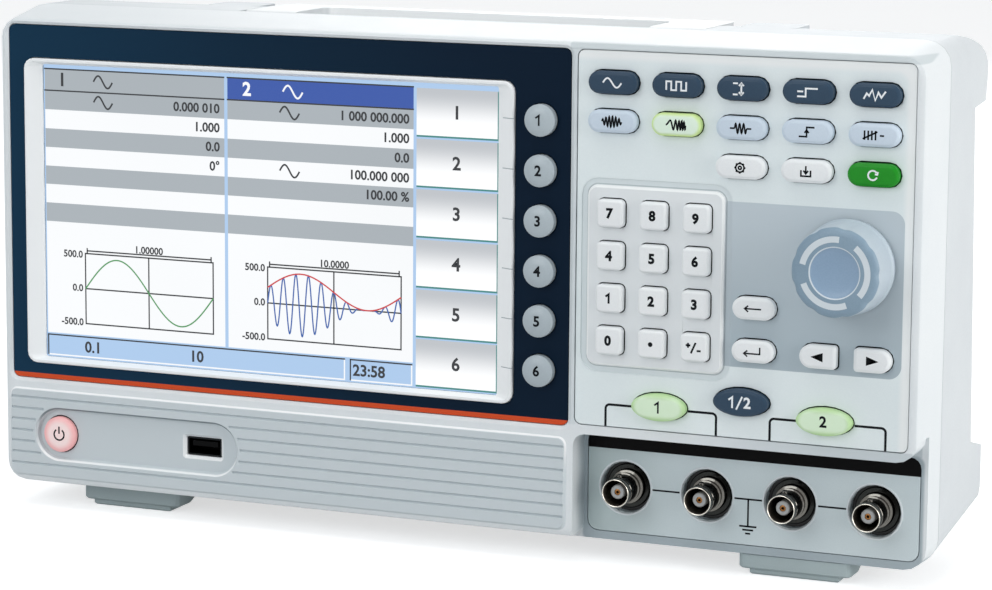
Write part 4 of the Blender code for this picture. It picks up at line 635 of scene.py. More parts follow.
def printed(name, words, front, body, slot, material, bold=0.03):
    """Characters of the plain built-in face: each entry's words are centred or right-aligned on an X and Z
    at a height, made a mesh, stood upright and joined into one piece."""
    work = bmesh.new()
    for text, x, z, height, align in words:
        face = bpy.data.curves.new(name, "FONT")
        face.body = text
        face.size = height
        face.align_x = align
        face.align_y = "CENTER"
        face.extrude = 0.00001
        face.resolution_u = 3
        face.offset = bold * height
        draft = bpy.data.objects.new(name, face)
        bpy.context.scene.collection.objects.link(draft)
        made = bpy.data.meshes.new_from_object(draft.evaluated_get(bpy.context.evaluated_depsgraph_get()))
        flat = np.zeros(len(made.vertices) * 3)
        made.vertices.foreach_get("co", flat)
        flat = flat.reshape(-1, 3)
        placed = np.stack([flat[:, 0] + x, front - flat[:, 2], flat[:, 1] + z], 1)
        made.vertices.foreach_set("co", placed.ravel())
        work.from_mesh(made)
        bpy.data.objects.remove(draft)
        bpy.data.curves.remove(face)
        bpy.data.meshes.remove(made)
    bmesh.ops.remove_doubles(work, verts=work.verts, dist=0.0000001)
    mesh = bpy.data.meshes.new(name)
    work.to_mesh(mesh)
    work.free()
    mesh.materials.clear()
    shown(name, mesh, body, slot, material)


dressed("screen_module", moulded("screen_film", (30, 38, 46), (24, 31, 38), 0.3, 0.0002, 0.00001))
ground_blue = lit("screen_pale_blue", (172, 203, 238))
pane_white = lit("screen_white", (250, 252, 254))
row_grey = lit("screen_grey", (168, 176, 182))
head_blue = lit("screen_blue", (30, 76, 166))
ink_black = lit("screen_black", (22, 26, 32))
button_edge = lit("screen_teal", (52, 132, 128))
wave_green = lit("screen_green", (70, 150, 84))
wave_blue = lit("screen_wave_blue", (44, 92, 170))
wave_red = lit("screen_red", (206, 44, 48))

panes("picture_ground", [(0, 0, 1392, 835)], 1, ground_blue)
row_tops = [76, 128, 182, 235, 288, 340, 393, 446]
white_rows, grey_rows = [], []
for pane_left, pane_right in ((4, 570), (580, 1141)):
    white_rows.append((pane_left, 446, pane_right, 766))
    white_rows += [(pane_left, row_tops[i], pane_right, row_tops[i + 1]) for i in (1, 3, 5)]
    grey_rows += [(pane_left, row_tops[i], pane_right, row_tops[i + 1]) for i in (0, 2, 4, 6)]
panes("pane_white_rows", white_rows, 2, pane_white)
panes("pane_grey_rows", grey_rows + [(4, 15, 570, 72)], 2, row_grey)
panes("pane_header", [(580, 15, 1141, 72)], 2, head_blue)
button_tops, button_step = [15, 152, 289, 426, 563, 699], 136.8
panes("button_edges", [(1150, top, 1391, top + 132) for top in button_tops], 2, button_edge)


def button_face(name, head, foot):
    """Lit button: the glow runs from a shaded head to a white foot by the height within each button."""
    made, paint = new_material(name, Roughness=0.35, Emission_Strength=1.0)
    below = paint.less(screen_top - button_tops[0] * dot, paint.axis("Z"))
    drop = paint.maths("DIVIDE", below, button_step * dot)
    share = paint.stepped(paint.maths("FRACT", drop), 0.05, 0.75)
    paint.put(Emission_Color=paint.mixed(share, head, foot),
              Base_Color=paint.mixed(share, film_black, (0.02, 0.02, 0.022, 1.0)))
    return made


button_glow = button_face("screen_button", (186, 190, 195), (252, 253, 254))
panes("button_faces", [(1150, top, 1386, top + 127) for top in button_tops], 3, button_glow)
status_frames, status_lights = [], []
for left, right in ((3, 938), (952, 1140)):
    status_frames += [(left, 770, right, 774), (left, 770, left + 4, 830)]
    status_lights += [(left + 4, 827, right, 831), (right - 4, 774, right, 831)]
panes("status_frames", status_frames, 2, ink_black)
panes("status_lights", status_lights, 2, pane_white)
pane_lines = [(left, top, right, top + 4) for top in (11, 72) for left, right in ((2, 571), (578, 1142))]
panes("pane_lines", pane_lines, 3, ink_black)

plot_top, plot_foot, plot_middle, swing = 532, 733, 632.5, 87
plot_spans = ((128, 533), (702, 1106))
frames = []
for left, right in plot_spans:
    middle = (left + right) / 2
    frames += [
        [(left, plot_top), (right, plot_top), (right, plot_foot), (left, plot_foot), (left, plot_top)],
        [(left, plot_middle), (right, plot_middle)],
        [(middle, plot_top), (middle, plot_foot)],
        [(left + 6, plot_top - 16), (left + 6, plot_top)],
        [(right - 6, plot_top - 16), (right - 6, plot_top)],
        [(left + 6, plot_top - 8), (right - 6, plot_top - 8)],
    ]
drawn("plot_frames", frames, 4, 0.00010, ink_black)


def plotted(span, run, rise):
    """A curve in picture points: a run from 0 to 1 across a plot's span, and a rise above its middle."""
    left, right = span
    return np.stack([left + (right - left) * run, plot_middle - rise], 1)


run = np.linspace(0.0, 1.0, 161)
sine = plotted(plot_spans[0], run, swing * np.sin(2 * np.pi * run))
drawn("plot_sine", [sine], 4, 0.00013, wave_green)
run = np.linspace(0.0, 1.0, 421)
swell = swing * (0.5 + 0.5 * np.sin(2 * np.pi * run))
carrier = plotted(plot_spans[1], run, swell * np.sin(2 * np.pi * 10.5 * run))
drawn("plot_carrier", [carrier], 4, 0.00013, wave_blue)
drawn("plot_envelope", [plotted(plot_spans[1], run, swell)], 4, 0.00016, wave_red)


def screen_words(entries, align):
    """Words at places in picture points: X and Z on the screen and a height in metres."""
    return [(text, screen_left + x * dot, screen_top - y * dot, size * dot, align)
            for text, x, y, size in entries]


columns = ((556, ("0.000 010", "1.000", "0.0", "0°")),
           (1129, ("1 000 000.000", "1.000", "0.0", "100.000 000", "100.00 %")))
values = [(text, x, y, 36) for x, texts in columns for text, y in zip(texts, (102, 155, 208, 262, 314))]
ticks = [(text, x, y, 28) for x in (120, 694) for text, y in (("500.0", 536), ("0.0", 632), ("-500.0", 730))]
labels = [("1", 60, 44, 52), ("1.00000", 331, 512, 28), ("10.0000", 905, 512, 28), ("23:58", 1010, 802, 44),
          ("0.1", 150, 802, 44), ("10", 480, 802, 44)]
labels += [(str(i + 1), 1268, top + 64, 50) for i, top in enumerate(button_tops)]
print_y = screen_y - 0.00013
numbers = screen_words(values + ticks, "RIGHT") + screen_words(labels, "CENTER")
printed("picture_numbers", numbers, print_y, "case", "screen_glass", ink_black, 0.026)
header = screen_words([("2", 640, 44, 52)], "CENTER")
printed("header_number", header, print_y, "case", "screen_glass", pane_white)
wave = np.linspace(0.0, 2 * np.pi, 25)
icon = np.stack([wave / (2 * np.pi) * 60 - 30, -17 * np.sin(wave)], 1)
icon_spots = ((190, 44), (190, 102), (770, 102), (770, 262))
drawn("picture_icons", [icon + np.array(spot) for spot in icon_spots], 5, 0.00010, ink_black)
drawn("header_icons", [icon + np.array([780, 44])], 5, 0.00010, pane_white)


# Display panel: the dark sheet round the screen surround, with an orange line printed along its foot.
# Screen printed polycarbonate film on a moulded plate, laid into a recess of the front housing.
def navy_sheet():
    """Printed navy sheet: two deep blues drift along its length, and an orange line ends at a height."""
    made, paint = new_material("navy_sheet", Specular_IOR_Level=0.06)
    drift = paint.plus(paint.axis("X"), paint.times(paint.noise(9.0), 0.05))
    navy = paint.mixed(paint.stepped(drift, -0.17, 0.06), (20, 53, 77), (7, 26, 44))
    line = paint.stepped(paint.axis("Z"), 0.0489, 0.04885)
    dust = paint.noise(1600.0)
    paint.put(Base_Color=paint.mixed(line, navy, (214, 82, 46)),
              Roughness=paint.plus(0.38, paint.times(dust, 0.16)))
    paint.bump(dust, 0.2, 0.00001)
    return made


dressed("display_panel", navy_sheet())


# Soft keys: six round caps beside the screen, one for each button of the picture.
# Moulded grey caps with a rounded edge and a slight crown, on the common rubber mat behind the panel.
# Their figures are pad printed, and a small notch on the screen surround, drawn as a bar of painted shade,
# points to each of them.
face_y = -0.0335
key_back = 0.0052


def key_rows(proud, slope, drop, flange, shoulder, seat, power):
    """A key's profile from back to front as two arrays, growth and depth: flange, straight cap wall with a
    row at the panel's front as its seat, a slope of a width and a drop, and a flat top. The share of the
    drop is one minus the share of the width left over, raised to a power: one gives a plain bevel and two
    a dome."""
    share = np.array([0.0, 0.03, 0.12, 0.3, 0.5, 0.7, 0.88, 0.97, 1.0])
    rise = 1 - (1 - share) ** power
    grow = np.concatenate([[flange, flange, 0.0, 0.0, 0.0], -slope * share,
                           [-slope - 0.00015, -slope - 0.0004]])
    depth = np.concatenate([[key_back, shoulder, shoulder, seat, -proud + drop + 0.00015],
                            -proud + drop - drop * rise, [-proud - 0.00002, -proud - 0.00004]])
    return grow, face_y + depth


# Painted shade for the part of each key cap's wall that stands within its hole.
gap_shade = moulded("key_gap", (20, 24, 28), (14, 17, 21), 0.6, 0.0004, 0.00002, Specular_IOR_Level=0.1)


def key_cap(name, x, z, width, height, radii, rows, slot, material):
    """A key cap in place of its CAD node: its outline grown and set back row by row, with painted shade on
    the part of its wall that stands in its hole. No radii give an oval."""
    grow, depth = rows
    bands_in_hole = 3
    if radii is None:
        angle = np.linspace(0.0, 2 * np.pi, 48, endpoint=False)[None, :]
        outlines = np.stack([(width / 2 + grow[:, None]) * np.cos(angle),
                             (height / 2 + grow[:, None]) * np.sin(angle)], -1)
    else:
        corner = np.broadcast_to(np.asarray(radii, float), 4)
        least, most = 0.0003, min(width, height) / 2
        outlines = np.stack([
            corner_ring(width + 2 * g, height + 2 * g, np.clip(corner + g, least, most + g), 8)
            for g in grow])
    points = rings(outlines + np.array([x, z]), depth)
    mesh = filled_mesh("cap_" + name, points, loft_faces(len(grow), points.shape[1]))
    mesh.set_sharp_from_angle(angle=math.radians(50))
    piece = shown("cap_" + name, mesh, name, slot, material, gap_shade)
    # the bands within the hole take the painted shade
    behind = np.zeros(len(mesh.polygons), np.int32)
    behind[:bands_in_hole * points.shape[1]] = 1
    mesh.polygons.foreach_set("material_index", behind)
    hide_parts(name)


inks = {
    "key_dark": moulded("legend_black", (16, 19, 24), (11, 14, 18), 0.5, 0.0002, 0.000005,
                        Specular_IOR_Level=0.1),
    "key_white": moulded("legend_white", (240, 243, 245), (228, 232, 236), 0.5, 0.0002, 0.000005),
}


def stroked(key, paths, spot, width, front, ink="key_dark"):
    """A printed sign on a key: bars along paths about a spot."""
    name = "legend_" + key.replace("key_", "").replace("_button", "")
    bars(name, [np.asarray(path) + np.array(spot) for path in paths], width, front, key, ink, inks[ink])


def lettered(name, key, text, spot, height, front, ink="key_dark", bold=0.03):
    """A printed character on a key, centred on a spot."""
    printed("legend_" + name, [(text, *spot, height, "CENTER")], front, key, ink, inks[ink], bold)


def figure_one(height):
    """A figure one as a path: the flag, then the stem, about its middle and at a height."""
    return np.array([(-0.30, 0.24), (0.06, 0.5), (0.06, -0.5)]) * height


soft_grey = moulded("soft_key_grey", (176, 187, 193), (165, 176, 183), 0.34, 0.0004, 0.00002)
soft_rows = key_rows(0.00266, 0.0036, 0.0012, 0.0012, 0.0018, 0.0009, 2.2)
soft_x, soft_size = 0.03765, 0.0108
soft_heights = 0.1492 - 0.0168 * np.arange(6)
cap_y = face_y - 0.00272
for i, z in enumerate(soft_heights):
    name = "key_f%d" % (i + 1)
    key_cap(name, soft_x, z, soft_size, soft_size, soft_size / 2, soft_rows, "key_soft_grey", soft_grey)
    if i == 0:
        stroked(name, [figure_one(0.0034)], (soft_x, z), 0.0006, cap_y)
    else:
        lettered(name[4:], name, str(i + 1), (soft_x, z), 0.0048, cap_y)

rail_start, rail_bend, rail_end, rail_slope = 0.0236, 0.0269, 0.0282, 0.4466
rail_y = face_y - 0.0005 + np.array([(rail_bend - rail_start) * rail_slope, 0.0, 0.0])
# Painted shade: grey bars on the surround's face stand in for the shade in its notches.
tick_notch_shade = moulded("tick_notch_shade", (164, 173, 178), (154, 163, 169), 0.5, 0.0003, 0.00001)
bars("frame_ticks", [[(x, z) for x in (rail_start, rail_bend, rail_end)] for z in soft_heights], 0.00028,
     rail_y - 0.00003, "case", "shell_white", tick_notch_shade)


# Control panel: the pale plate with the key holes, the raised keypad surround and a blue-grey field.
# Moulded plate with a matt printed skin; fine printed brackets tie the output keys to their sockets.
panel_y = face_y + 0.0003


def control_sheet():
    """Printed panel skin: pale grey with a painted highlight along its edges, a blue-grey field that darkens
    downwards, the light keypad surround with painted shade in its moat and a painted shadow line and a
    painted highlight line at its edge, and painted shade within the key holes."""
    made, paint = new_material("control_sheet")
    skin = skinned(paint, (232, 240, 241), (226, 235, 237), 0.5, 0.0005)
    field_tone = paint.mixed(paint.stepped(paint.axis("Z"), 0.066, 0.132), (166, 180, 188), (192, 203, 210))
    # outside this plate the panel keeps its lighter colour: a painted highlight along its edges
    inner = plate(paint, (0.02, 0.1619, 0.02, 0.1703, 0.004), 0.0012)
    moat_shade = plate(paint, (0.0522, 0.1045, 0.0664, 0.1313, 0.0057), 0.0005)
    shade_line = ringed(paint, (0.0541, 0.1026, 0.0683, 0.1294, 0.0039), 0.0004)
    highlight_line = ringed(paint, (0.0546, 0.1021, 0.0688, 0.1289, 0.0034), 0.0008)
    # painted shade on the walls of the key holes, deeper than the panel's front
    hole = paint.times(inner, paint.stepped(paint.axis("Y"), panel_y + 0.0004, panel_y + 0.0007))
    colour = paint.layered(
        (240, 243, 243),
        (inner, skin["Colour"]),
        (plate(paint, (0.090, 0.162, 0.0718, 0.126, 0.0043)), field_tone),
        # painted shade in the moat, and a painted shadow line and highlight line round the keypad surround
        (paint.times(moat_shade, 0.35), (190, 199, 204)),
        (plate(paint, (0.0545, 0.1022, 0.0687, 0.1290, 0.0035)), (226, 230, 232)),
        (paint.times(shade_line, 0.55), (138, 148, 154)),
        (paint.times(highlight_line, 0.8), (248, 250, 250)),
        (hole, (40, 46, 52)),
    )
    finished(paint, colour, skin, 0.00002)
    return made


softened("control_plate", "control_panel", "case", "control_panel_grey", control_sheet(), 0.0003)


def bracket(left, right, inner_left, inner_right):
    """Two bracket lines: up each leg, round a quarter circle and in to the key."""
    foot, head, radius = 0.0483, 0.0557, 0.0014
    bend = np.linspace(0.0, np.pi / 2, 7)
    lines = []
    for leg, inner, sign in ((left, inner_left, 1), (right, inner_right, -1)):
        arc = np.stack([leg + sign * radius * (1 - np.cos(bend)), head - radius * (1 - np.sin(bend))], 1)
        lines.append(np.concatenate([[(leg, foot)], arc, [(inner, head)]]))
    return lines


brackets = bracket(0.0615, 0.1001, 0.0711, 0.0903) + bracket(0.1185, 0.1574, 0.1277, 0.1470)
bars("output_brackets", brackets, 0.0008, panel_y - 0.00003, "case", "key_dark", inks["key_dark"])


# Function keys: three rows of pill shaped caps above the keypad, and three oval caps below it.
# Translucent silicone caps that light up from behind, some of them dark or coloured, printed on top.
def glowing(name, x, z, width, height, core, rim, edge):
    """Lit cap: the glow is pale over the top and stronger in colour within an edge width of its outline."""
    made, paint = new_material(name, Roughness=0.42, Emission_Strength=0.03)
    half_width, half_height = width / 2 - edge, height / 2 - edge
    shape = plate(paint, (x - half_width, x + half_width, z - half_height, z + half_height, half_height),
                  edge * 0.9)
    cloud = paint.noise(420.0)
    share = paint.times(shape, paint.plus(0.9, paint.times(cloud, 0.2)))
    tone = paint.mixed(share, rim, core)
    paint.put(Base_Color=tone, Emission_Color=tone)
    paint.bump(cloud, 0.2, 0.00002)
    return made


dark_key = moulded("key_dark_cap", (45, 68, 89), (37, 60, 81), 0.36, 0.0004, 0.00002, Specular_IOR_Level=0.25)
pale_key = moulded("key_pale_cap", (206, 219, 232), (197, 211, 225), 0.45, 0.0004, 0.00002)
white_key = moulded("key_white_cap", (240, 242, 243), (232, 235, 237), 0.42, 0.0004, 0.00002)
green_key = moulded("key_green_cap", (20, 146, 26), (14, 132, 20), 0.38, 0.0004, 0.00002,
                    Specular_IOR_Level=0.25)
pill_rows = key_rows(0.00266, 0.0010, 0.0006, 0.0008, 0.0021, 0.0003, 1.25)
pill_width, pill_height = 0.0169, 0.0074
column = [0.06345 + 0.0221 * i for i in range(5)]
row_heights = [0.1629, 0.1502, 0.1375]
sweep_glow = glowing("sweep_key_glow", column[1], row_heights[1], pill_width, pill_height, (222, 239, 222),
                     (203, 229, 150), 0.0007)
key_places = (
    (("waveform", "frequency", "amplitude", "offset", "arb"), 0, 0, "key_dark", dark_key),
    (("modulation",), 0, 1, "key_pale_blue", pale_key),
    (("sweep",), 1, 1, "key_lit_green", sweep_glow),
    (("burst", "trigger", "counter"), 2, 1, "key_pale_blue", pale_key),
    (("utility", "recall"), 2, 2, "key_white", white_key),
    (("preset",), 4, 2, "key_green", green_key),
)
pill_spots = {}
for words, first, j, slot, material in key_places:
    for i, word in enumerate(words):
        spot = (column[first + i], row_heights[j])
        key_cap("key_" + word, *spot, pill_width, pill_height, pill_height / 2, pill_rows, slot, material)
        pill_spots["key_" + word] = spot

oval_width, oval_height = 0.0187, 0.0090
oval_spots = {"key_output_1": (0.080725, 0.0565), "key_channel": (0.109025, 0.0605),
              "key_output_2": (0.137325, 0.0565)}
for name, spot in oval_spots.items():
    slot, material = "key_dark", dark_key
    if name != "key_channel":
        slot = "key_lit_green"
        material = glowing(name + "_glow", *spot, oval_width, oval_height, (216, 237, 208), (184, 218, 158),
                           0.0012)
    key_cap(name, *spot, oval_width, oval_height, None, pill_rows, slot, material)


# Key legends: the printed signs and figures on the function keys, most of them plain strokes.
# Pad printed ink a few hundredths of a millimetre thick on the crown of each cap.
turn = np.linspace(0.0, 2 * np.pi, 33)
unit_sine = np.stack([turn / np.pi - 1.0, np.sin(turn)], 1)
unit_circle = np.stack([np.cos(turn), np.sin(turn)], 1)


def strokes(*paths):
    """Paths in tenths of a millimetre from the middle of a key, as arrays in metres."""
    return [np.asarray(path, float) * 0.0001 for path in paths]


burst_run = np.linspace(0.0, 1.0, 49)
burst_wave = np.stack([burst_run * 40 - 20, 15 * np.sin(2 * np.pi * 3 * burst_run)], 1)
many_run = np.linspace(0.0, 1.0, 65)
swelling = (6 + 12 * np.sin(np.pi * many_run)) * np.sin(2 * np.pi * 6 * many_run)
quickening = 15 * np.sin(2 * np.pi * 5 * many_run ** 2)
spokes = [[(r * math.cos(a), r * math.sin(a)) for r in (14, 19)] for a in np.arange(8) * math.pi / 4]
signs = {
    "key_waveform": strokes(unit_sine * (32, 15)),
    "key_frequency": strokes([(-34, -14), (-34, 14), (-17, 14), (-17, -14), (0, -14), (0, 14), (17, 14),
                              (17, -14), (34, -14), (34, 14)]),
    "key_amplitude": strokes([(0, -18), (0, 18)], [(-8, 10), (0, 19), (8, 10)],
                             [(-8, -10), (0, -19), (8, -10)], [(-28, 18), (-12, 18)],
                             [(-28, -18), (-12, -18)]),
    "key_offset": strokes([(-34, -14), (-6, -14), (-6, 12), (34, 12)], [(-34, 2), (-14, 2)]),
    "key_arb": strokes([(-36, -12), (-26, 6), (-18, -2), (-8, 18), (2, -16), (12, 10), (22, -6), (36, 14)]),
    "key_modulation": strokes(np.stack([many_run * 68 - 34, swelling], 1)),
    "key_sweep": strokes(np.stack([many_run * 68 - 34, quickening], 1)),
    "key_burst": strokes([(-36, 0), (-20, 0)], burst_wave, [(20, 0), (36, 0)]),
    "key_trigger": strokes([(-26, -15), (0, -15), (0, 15), (26, 15)], [(-7, -3), (0, 6), (7, -3)]),
    "key_counter": strokes(*[[(x, -15), (x, 15)] for x in (-30, -18, -6, 6)], [(-36, -12), (12, 12)],
                           [(20, 0), (34, 0)]),
    "key_utility": strokes(unit_circle * 14, unit_circle * 5, *spokes),
    "key_recall": strokes([(-16, 4), (-16, -15), (16, -15), (16, 4)], [(0, 18), (0, -6)],
                          [(-8, 3), (0, -7), (8, 3)]),
    "key_preset": strokes(unit_circle[3:31] * 15, [(7, 4), (15, 3), (17, 12)]),
}
for name, paths in signs.items():
    on_dark = name == "key_preset" or pill_spots[name][1] == row_heights[0]
    stroked(name, paths, pill_spots[name], 0.00056, cap_y, "key_white" if on_dark else "key_dark")
figure_height, digit_height = 0.0036, 0.0050
stroked("key_output_1", [figure_one(figure_height)], oval_spots["key_output_1"], 0.0006, cap_y)
lettered("output_2", "key_output_2", "2", oval_spots["key_output_2"], digit_height, cap_y)
slash = np.array([(0.0016, -0.0022), (0.0036, 0.0022)])
stroked("key_channel", [figure_one(figure_height), slash], (0.1063, 0.0605), 0.0006, cap_y, "key_white")
lettered("channel_2", "key_channel", "2", (0.1116, 0.0605), digit_height, cap_y, "key_white")


# Keypad: twelve square caps in the raised surround, with the digits, a point and a sign key.
# White moulded caps with crisp drafted sides and small round corners; the digits are pad printed.
pad_rows = key_rows(0.00386, 0.0007, 0.0007, 0.0008, 0.0021, -0.0009, 1.4)
pad_size, pad_top_y = 0.0092, face_y - 0.00392
pad_head, pad_step_x, pad_step_z = 0.1200, 0.0149, 0.0141
sign_marks = strokes([(-26, 8), (-10, 8)], [(-18, 0), (-18, 16)], [(-8, -18), (8, 18)], [(12, -9), (26, -9)])
pad_strokes = {"point": ([unit_circle * 0.0004], 0.0008), "sign": (sign_marks, 0.00065),
               "1": ([figure_one(0.0031)], 0.0007)}
for i, digit in enumerate(("7", "8", "9", "4", "5", "6", "1", "2", "3", "0", "point", "sign")):
    name = "key_" + digit
    spot = (column[0] + (i % 3) * pad_step_x, pad_head - (i // 3) * pad_step_z)
    key_cap(name, *spot, pad_size, pad_size, 0.0016, pad_rows, "key_white", white_key)
    if digit in pad_strokes:
        paths, width = pad_strokes[digit]
        stroked(name, paths, spot, width, pad_top_y)
    else:
        lettered(digit, name, digit, spot, 0.0044, pad_top_y, bold=0.05)


# Entry and arrow keys: two pills beside the keypad, and a pair of caps under the knob rounded at one end.
# The same white caps as the keypad; a return arrow, an erase arrow and two triangles are printed on them.
entry_x, entry_width, entry_height = 0.11295, 0.0144, 0.0073
entry_keys = {
    "key_backspace": (0.0918, strokes([(28, 0), (-26, 0)], [(-16, 10), (-28, 0), (-16, -10)])),
    "key_enter": (0.0777, strokes([(26, 16), (26, -6), (-26, -6)], [(-16, 4), (-28, -6), (-16, -16)])),
}
for name, (z, paths) in entry_keys.items():
    key_cap(name, entry_x, z, entry_width, entry_height, entry_height / 2, pill_rows, "key_white", white_key)
for name, (z, paths) in entry_keys.items():
    stroked(name, paths, (entry_x, z), 0.0005, cap_y)
knob_x, knob_z = 0.14395, 0.1075
arrow_reach, arrow_z, arrow_width, arrow_height = 0.0091, 0.0777, 0.0123, 0.0077
small, large = 0.0012, arrow_height / 2
for name, sign in (("key_arrow_left", -1), ("key_arrow_right", 1)):
    spot = (knob_x + sign * arrow_reach, arrow_z)
    radii = (large, small, small, large) if sign > 0 else (small, large, large, small)
    key_cap(name, *spot, arrow_width, arrow_height, radii, pill_rows, "key_white", white_key)
    triangle = np.array([(20, 0), (-18, 12), (-18, -12), (20, 0)]) * (0.0001 * sign, 0.0001)
    stroked(name, [triangle[::sign] * share for share in (0.86, 0.5, 0.18)], spot, 0.0007, cap_y)


# Knob: a scalloped turning knob with a finger dish and three pale arcs on its face.
# Moulded in two shots, a pale skirt under a blue-grey face; it pushes onto the encoder's shaft.
knob_around, knob_scallops = 144, 9
knob_skirt = moulded("knob_skirt", (190, 202, 211), (178, 191, 201), 0.4, 0.0005)
knob_face = moulded("knob_face", (134, 157, 175), (122, 146, 164), 0.45, 0.0005)
knob_dish = moulded("knob_dish", (142, 167, 192), (130, 156, 182), 0.35, 0.0005, 0.00002)
mark_pale = moulded("knob_mark", (214, 222, 228), (206, 215, 221), 0.5, 0.0003, 0.00001)
dip = 0.0004
knob_profile = [
    (0.0155, -0.0006, 0.0), (0.0155, -0.0020, 0.0), (0.0153, -0.0024, 0.0), (0.0151, -0.0026, 0.0),
    (0.01495, -0.0045, dip * 0.5), (0.0147, -0.0135, dip), (0.0145, -0.0146, dip),
    (0.0142, -0.0151, dip), (0.0137, -0.0155, dip), (0.0130, -0.0158, 0.0), (0.0120, -0.01595, 0.0),
    (0.0087, -0.01595, 0.0), (0.0085, -0.01597, 0.0), (0.0083, -0.01593, 0.0), (0.0081, -0.0157, 0.0),
    (0.0074, -0.0154, 0.0), (0.0060, -0.0151, 0.0), (0.0040, -0.0149, 0.0), (0.0020, -0.0148, 0.0),
]
knob_rings = turned_rings(knob_profile, knob_around, knob_scallops) + np.array([knob_x, face_y, knob_z])
knob_mesh = filled_mesh("turning_knob", knob_rings, loft_faces(len(knob_profile), knob_around))
knob_piece = shown("turning_knob", knob_mesh, "knob", "knob_blue_grey", knob_skirt, knob_face, knob_dish,
                   mark_pale)
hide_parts("knob")
skirt, face, dish, mark = range(4)
band = np.repeat([skirt] * 6 + [face] * 6 + [mark] * 2 + [dish] * 4, knob_around)
knob_mesh.polygons.foreach_set("material_index", np.concatenate([band, [skirt, dish]]).astype(np.int32))


def arc(x, z, radius, start, stop, count):
    """Points of a circle's arc from a start to a stop in degrees."""
    angle = np.radians(np.linspace(start, stop, count))
    return np.stack([x + radius * np.cos(angle), z + radius * np.sin(angle)], 1)


knob_arcs = [arc(knob_x, knob_z, 0.0108, *ends, 37) for ends in ((83, 168), (-40, 52), (201, 292))]
bars("knob_arcs", knob_arcs, 0.0020, face_y - 0.01598, "knob", "knob_blue_grey", mark_pale)


# Power button and USB socket: both sit in the long pocket of the ribbed pad.
# The button is a lit translucent cap with the standby sign; the socket is a folded steel shell with painted
# shade inside.
power_spot = (-0.1459, 0.02745)
power_rows = key_rows(0.00066, 0.0016, 0.0006, 0.0014, 0.0045, 0.0014, 1.6)
power_size, glow_size = 0.0128, 0.0130
power_glow = glowing("power_button_glow", *power_spot, glow_size, glow_size, (255, 229, 227), (249, 182, 182),
                     0.0016)
key_cap("power_button", *power_spot, power_size, power_size, power_size / 2, power_rows, "power_pink",
        power_glow)
standby = [arc(0.0, 0.0, 0.0020, 125, 415, 33), [(0.0, 0.0003), (0.0, 0.0029)]]
stroked("power_button", standby, power_spot, 0.0006, face_y - 0.00072)


def usb_skin():
    """Folded steel shell: dark grey along its front edge, with painted shade inside that is nearly black, and
    fine drawing marks.
    """
    made, paint = new_material("usb_steel", Metallic=0.6, Specular_IOR_Level=0.1)
    usb_y = -0.0309
    marks = paint.noise(1400.0)
    front = paint.stepped(paint.axis("Y"), usb_y + 0.0003, usb_y + 0.0001)
    # painted shade inside the shell, behind its front edge
    inside = paint.mixed(marks, (5, 5, 6), (10, 10, 11))
    paint.put(Base_Color=paint.mixed(front, inside, (34, 36, 38)),
              Roughness=paint.plus(0.3, paint.times(marks, 0.2)))
    return made


dressed("usb_socket", usb_skin())


# Output panel: the set-back plate round the four coaxial sockets, with a black head strip.
# Printed grey sheet on a moulded plate; fine lines join the sockets and lead to the earth sign.
# A pale moulded rim stands round each socket's hole.
def output_sheet():
    """Printed output panel: grained grey with painted shade towards its left, and black above a height."""
    made, paint = new_material("output_sheet", Specular_IOR_Level=0.06)
    skin = skinned(paint, (211, 222, 225), (203, 215, 219), 0.46, 0.0005)
    strip = paint.stepped(paint.axis("Z"), 0.03845, 0.0385)
    # painted shade towards the panel's left, beside the wall of the set-back corner
    colour = paint.mixed(paint.stepped(paint.axis("X"), 0.050, 0.088), (183, 197, 198), skin["Colour"])
    finished(paint, paint.mixed(strip, colour, (3, 3, 4)), skin, 0.00002)
    return made


dressed("output_panel", output_sheet())
output_y, socket_z, earth_x, line_end = -0.0225, 0.0256, 0.1082, 0.0096
socket_xs = [0.0650 + i * 0.0288 for i in range(4)]
joins = [[(a + line_end, socket_z), (b - line_end, socket_z)] for a, b in zip(socket_xs, socket_xs[1:])]
joins.append([(earth_x, socket_z), (earth_x, 0.0164)])
joins += [[(earth_x - half, z), (earth_x + half, z)]
          for half, z in ((0.0030, 0.0164), (0.0019, 0.0152), (0.0009, 0.0140))]
bars("socket_lines", joins, 0.0006, output_y - 0.00003, "case", "key_dark", inks["key_dark"])
rim_around = 64
rim = turned_rings([(0.0087, 0.0006), (0.0088, 0.0002), (0.0089, -0.0001), (0.0091, -0.0003),
                    (0.0094, -0.0002), (0.0096, 0.0)], rim_around)[::-1]
rim_faces = loft_faces(len(rim), rim_around, False, False)
rims = joined((rim + np.array([x, output_y - 0.00002, socket_z]), rim_faces) for x in socket_xs)
rim_white = moulded("socket_rim", (216, 223, 226), (206, 214, 218), 0.4, 0.0005, 0.00002)
shown("socket_rims", filled_mesh("socket_rims", *rims), "case", "output_panel_grey", rim_white)


# Output sockets: four bayonet coaxial sockets behind the panel, their barrels in the set-back corner.
# The same nickel plated parts as the counter input, held by their black bodies behind the wall.
for i, x in enumerate(socket_xs):
    spot = np.array([x, face_y + 0.0151, socket_z])
    coaxial_socket("socket_%d" % (i + 1), "output_socket_%d" % (i + 1), socket_points + spot)


# Stage: a pale floor under soft studio light from above, the right, the front and the back.
# The floor and the world look white to the camera and to reflections, and stay dimmer as light.
def in_sight(paint):
    """1 for camera, glossy and transmission rays, and 0 for rays that only gather light."""
    path = paint.node("LightPath")
    mirrored = paint.maths("MAXIMUM", path["Is Glossy Ray"], path["Is Transmission Ray"])
    return paint.maths("MAXIMUM", path["Is Camera Ray"], mirrored)


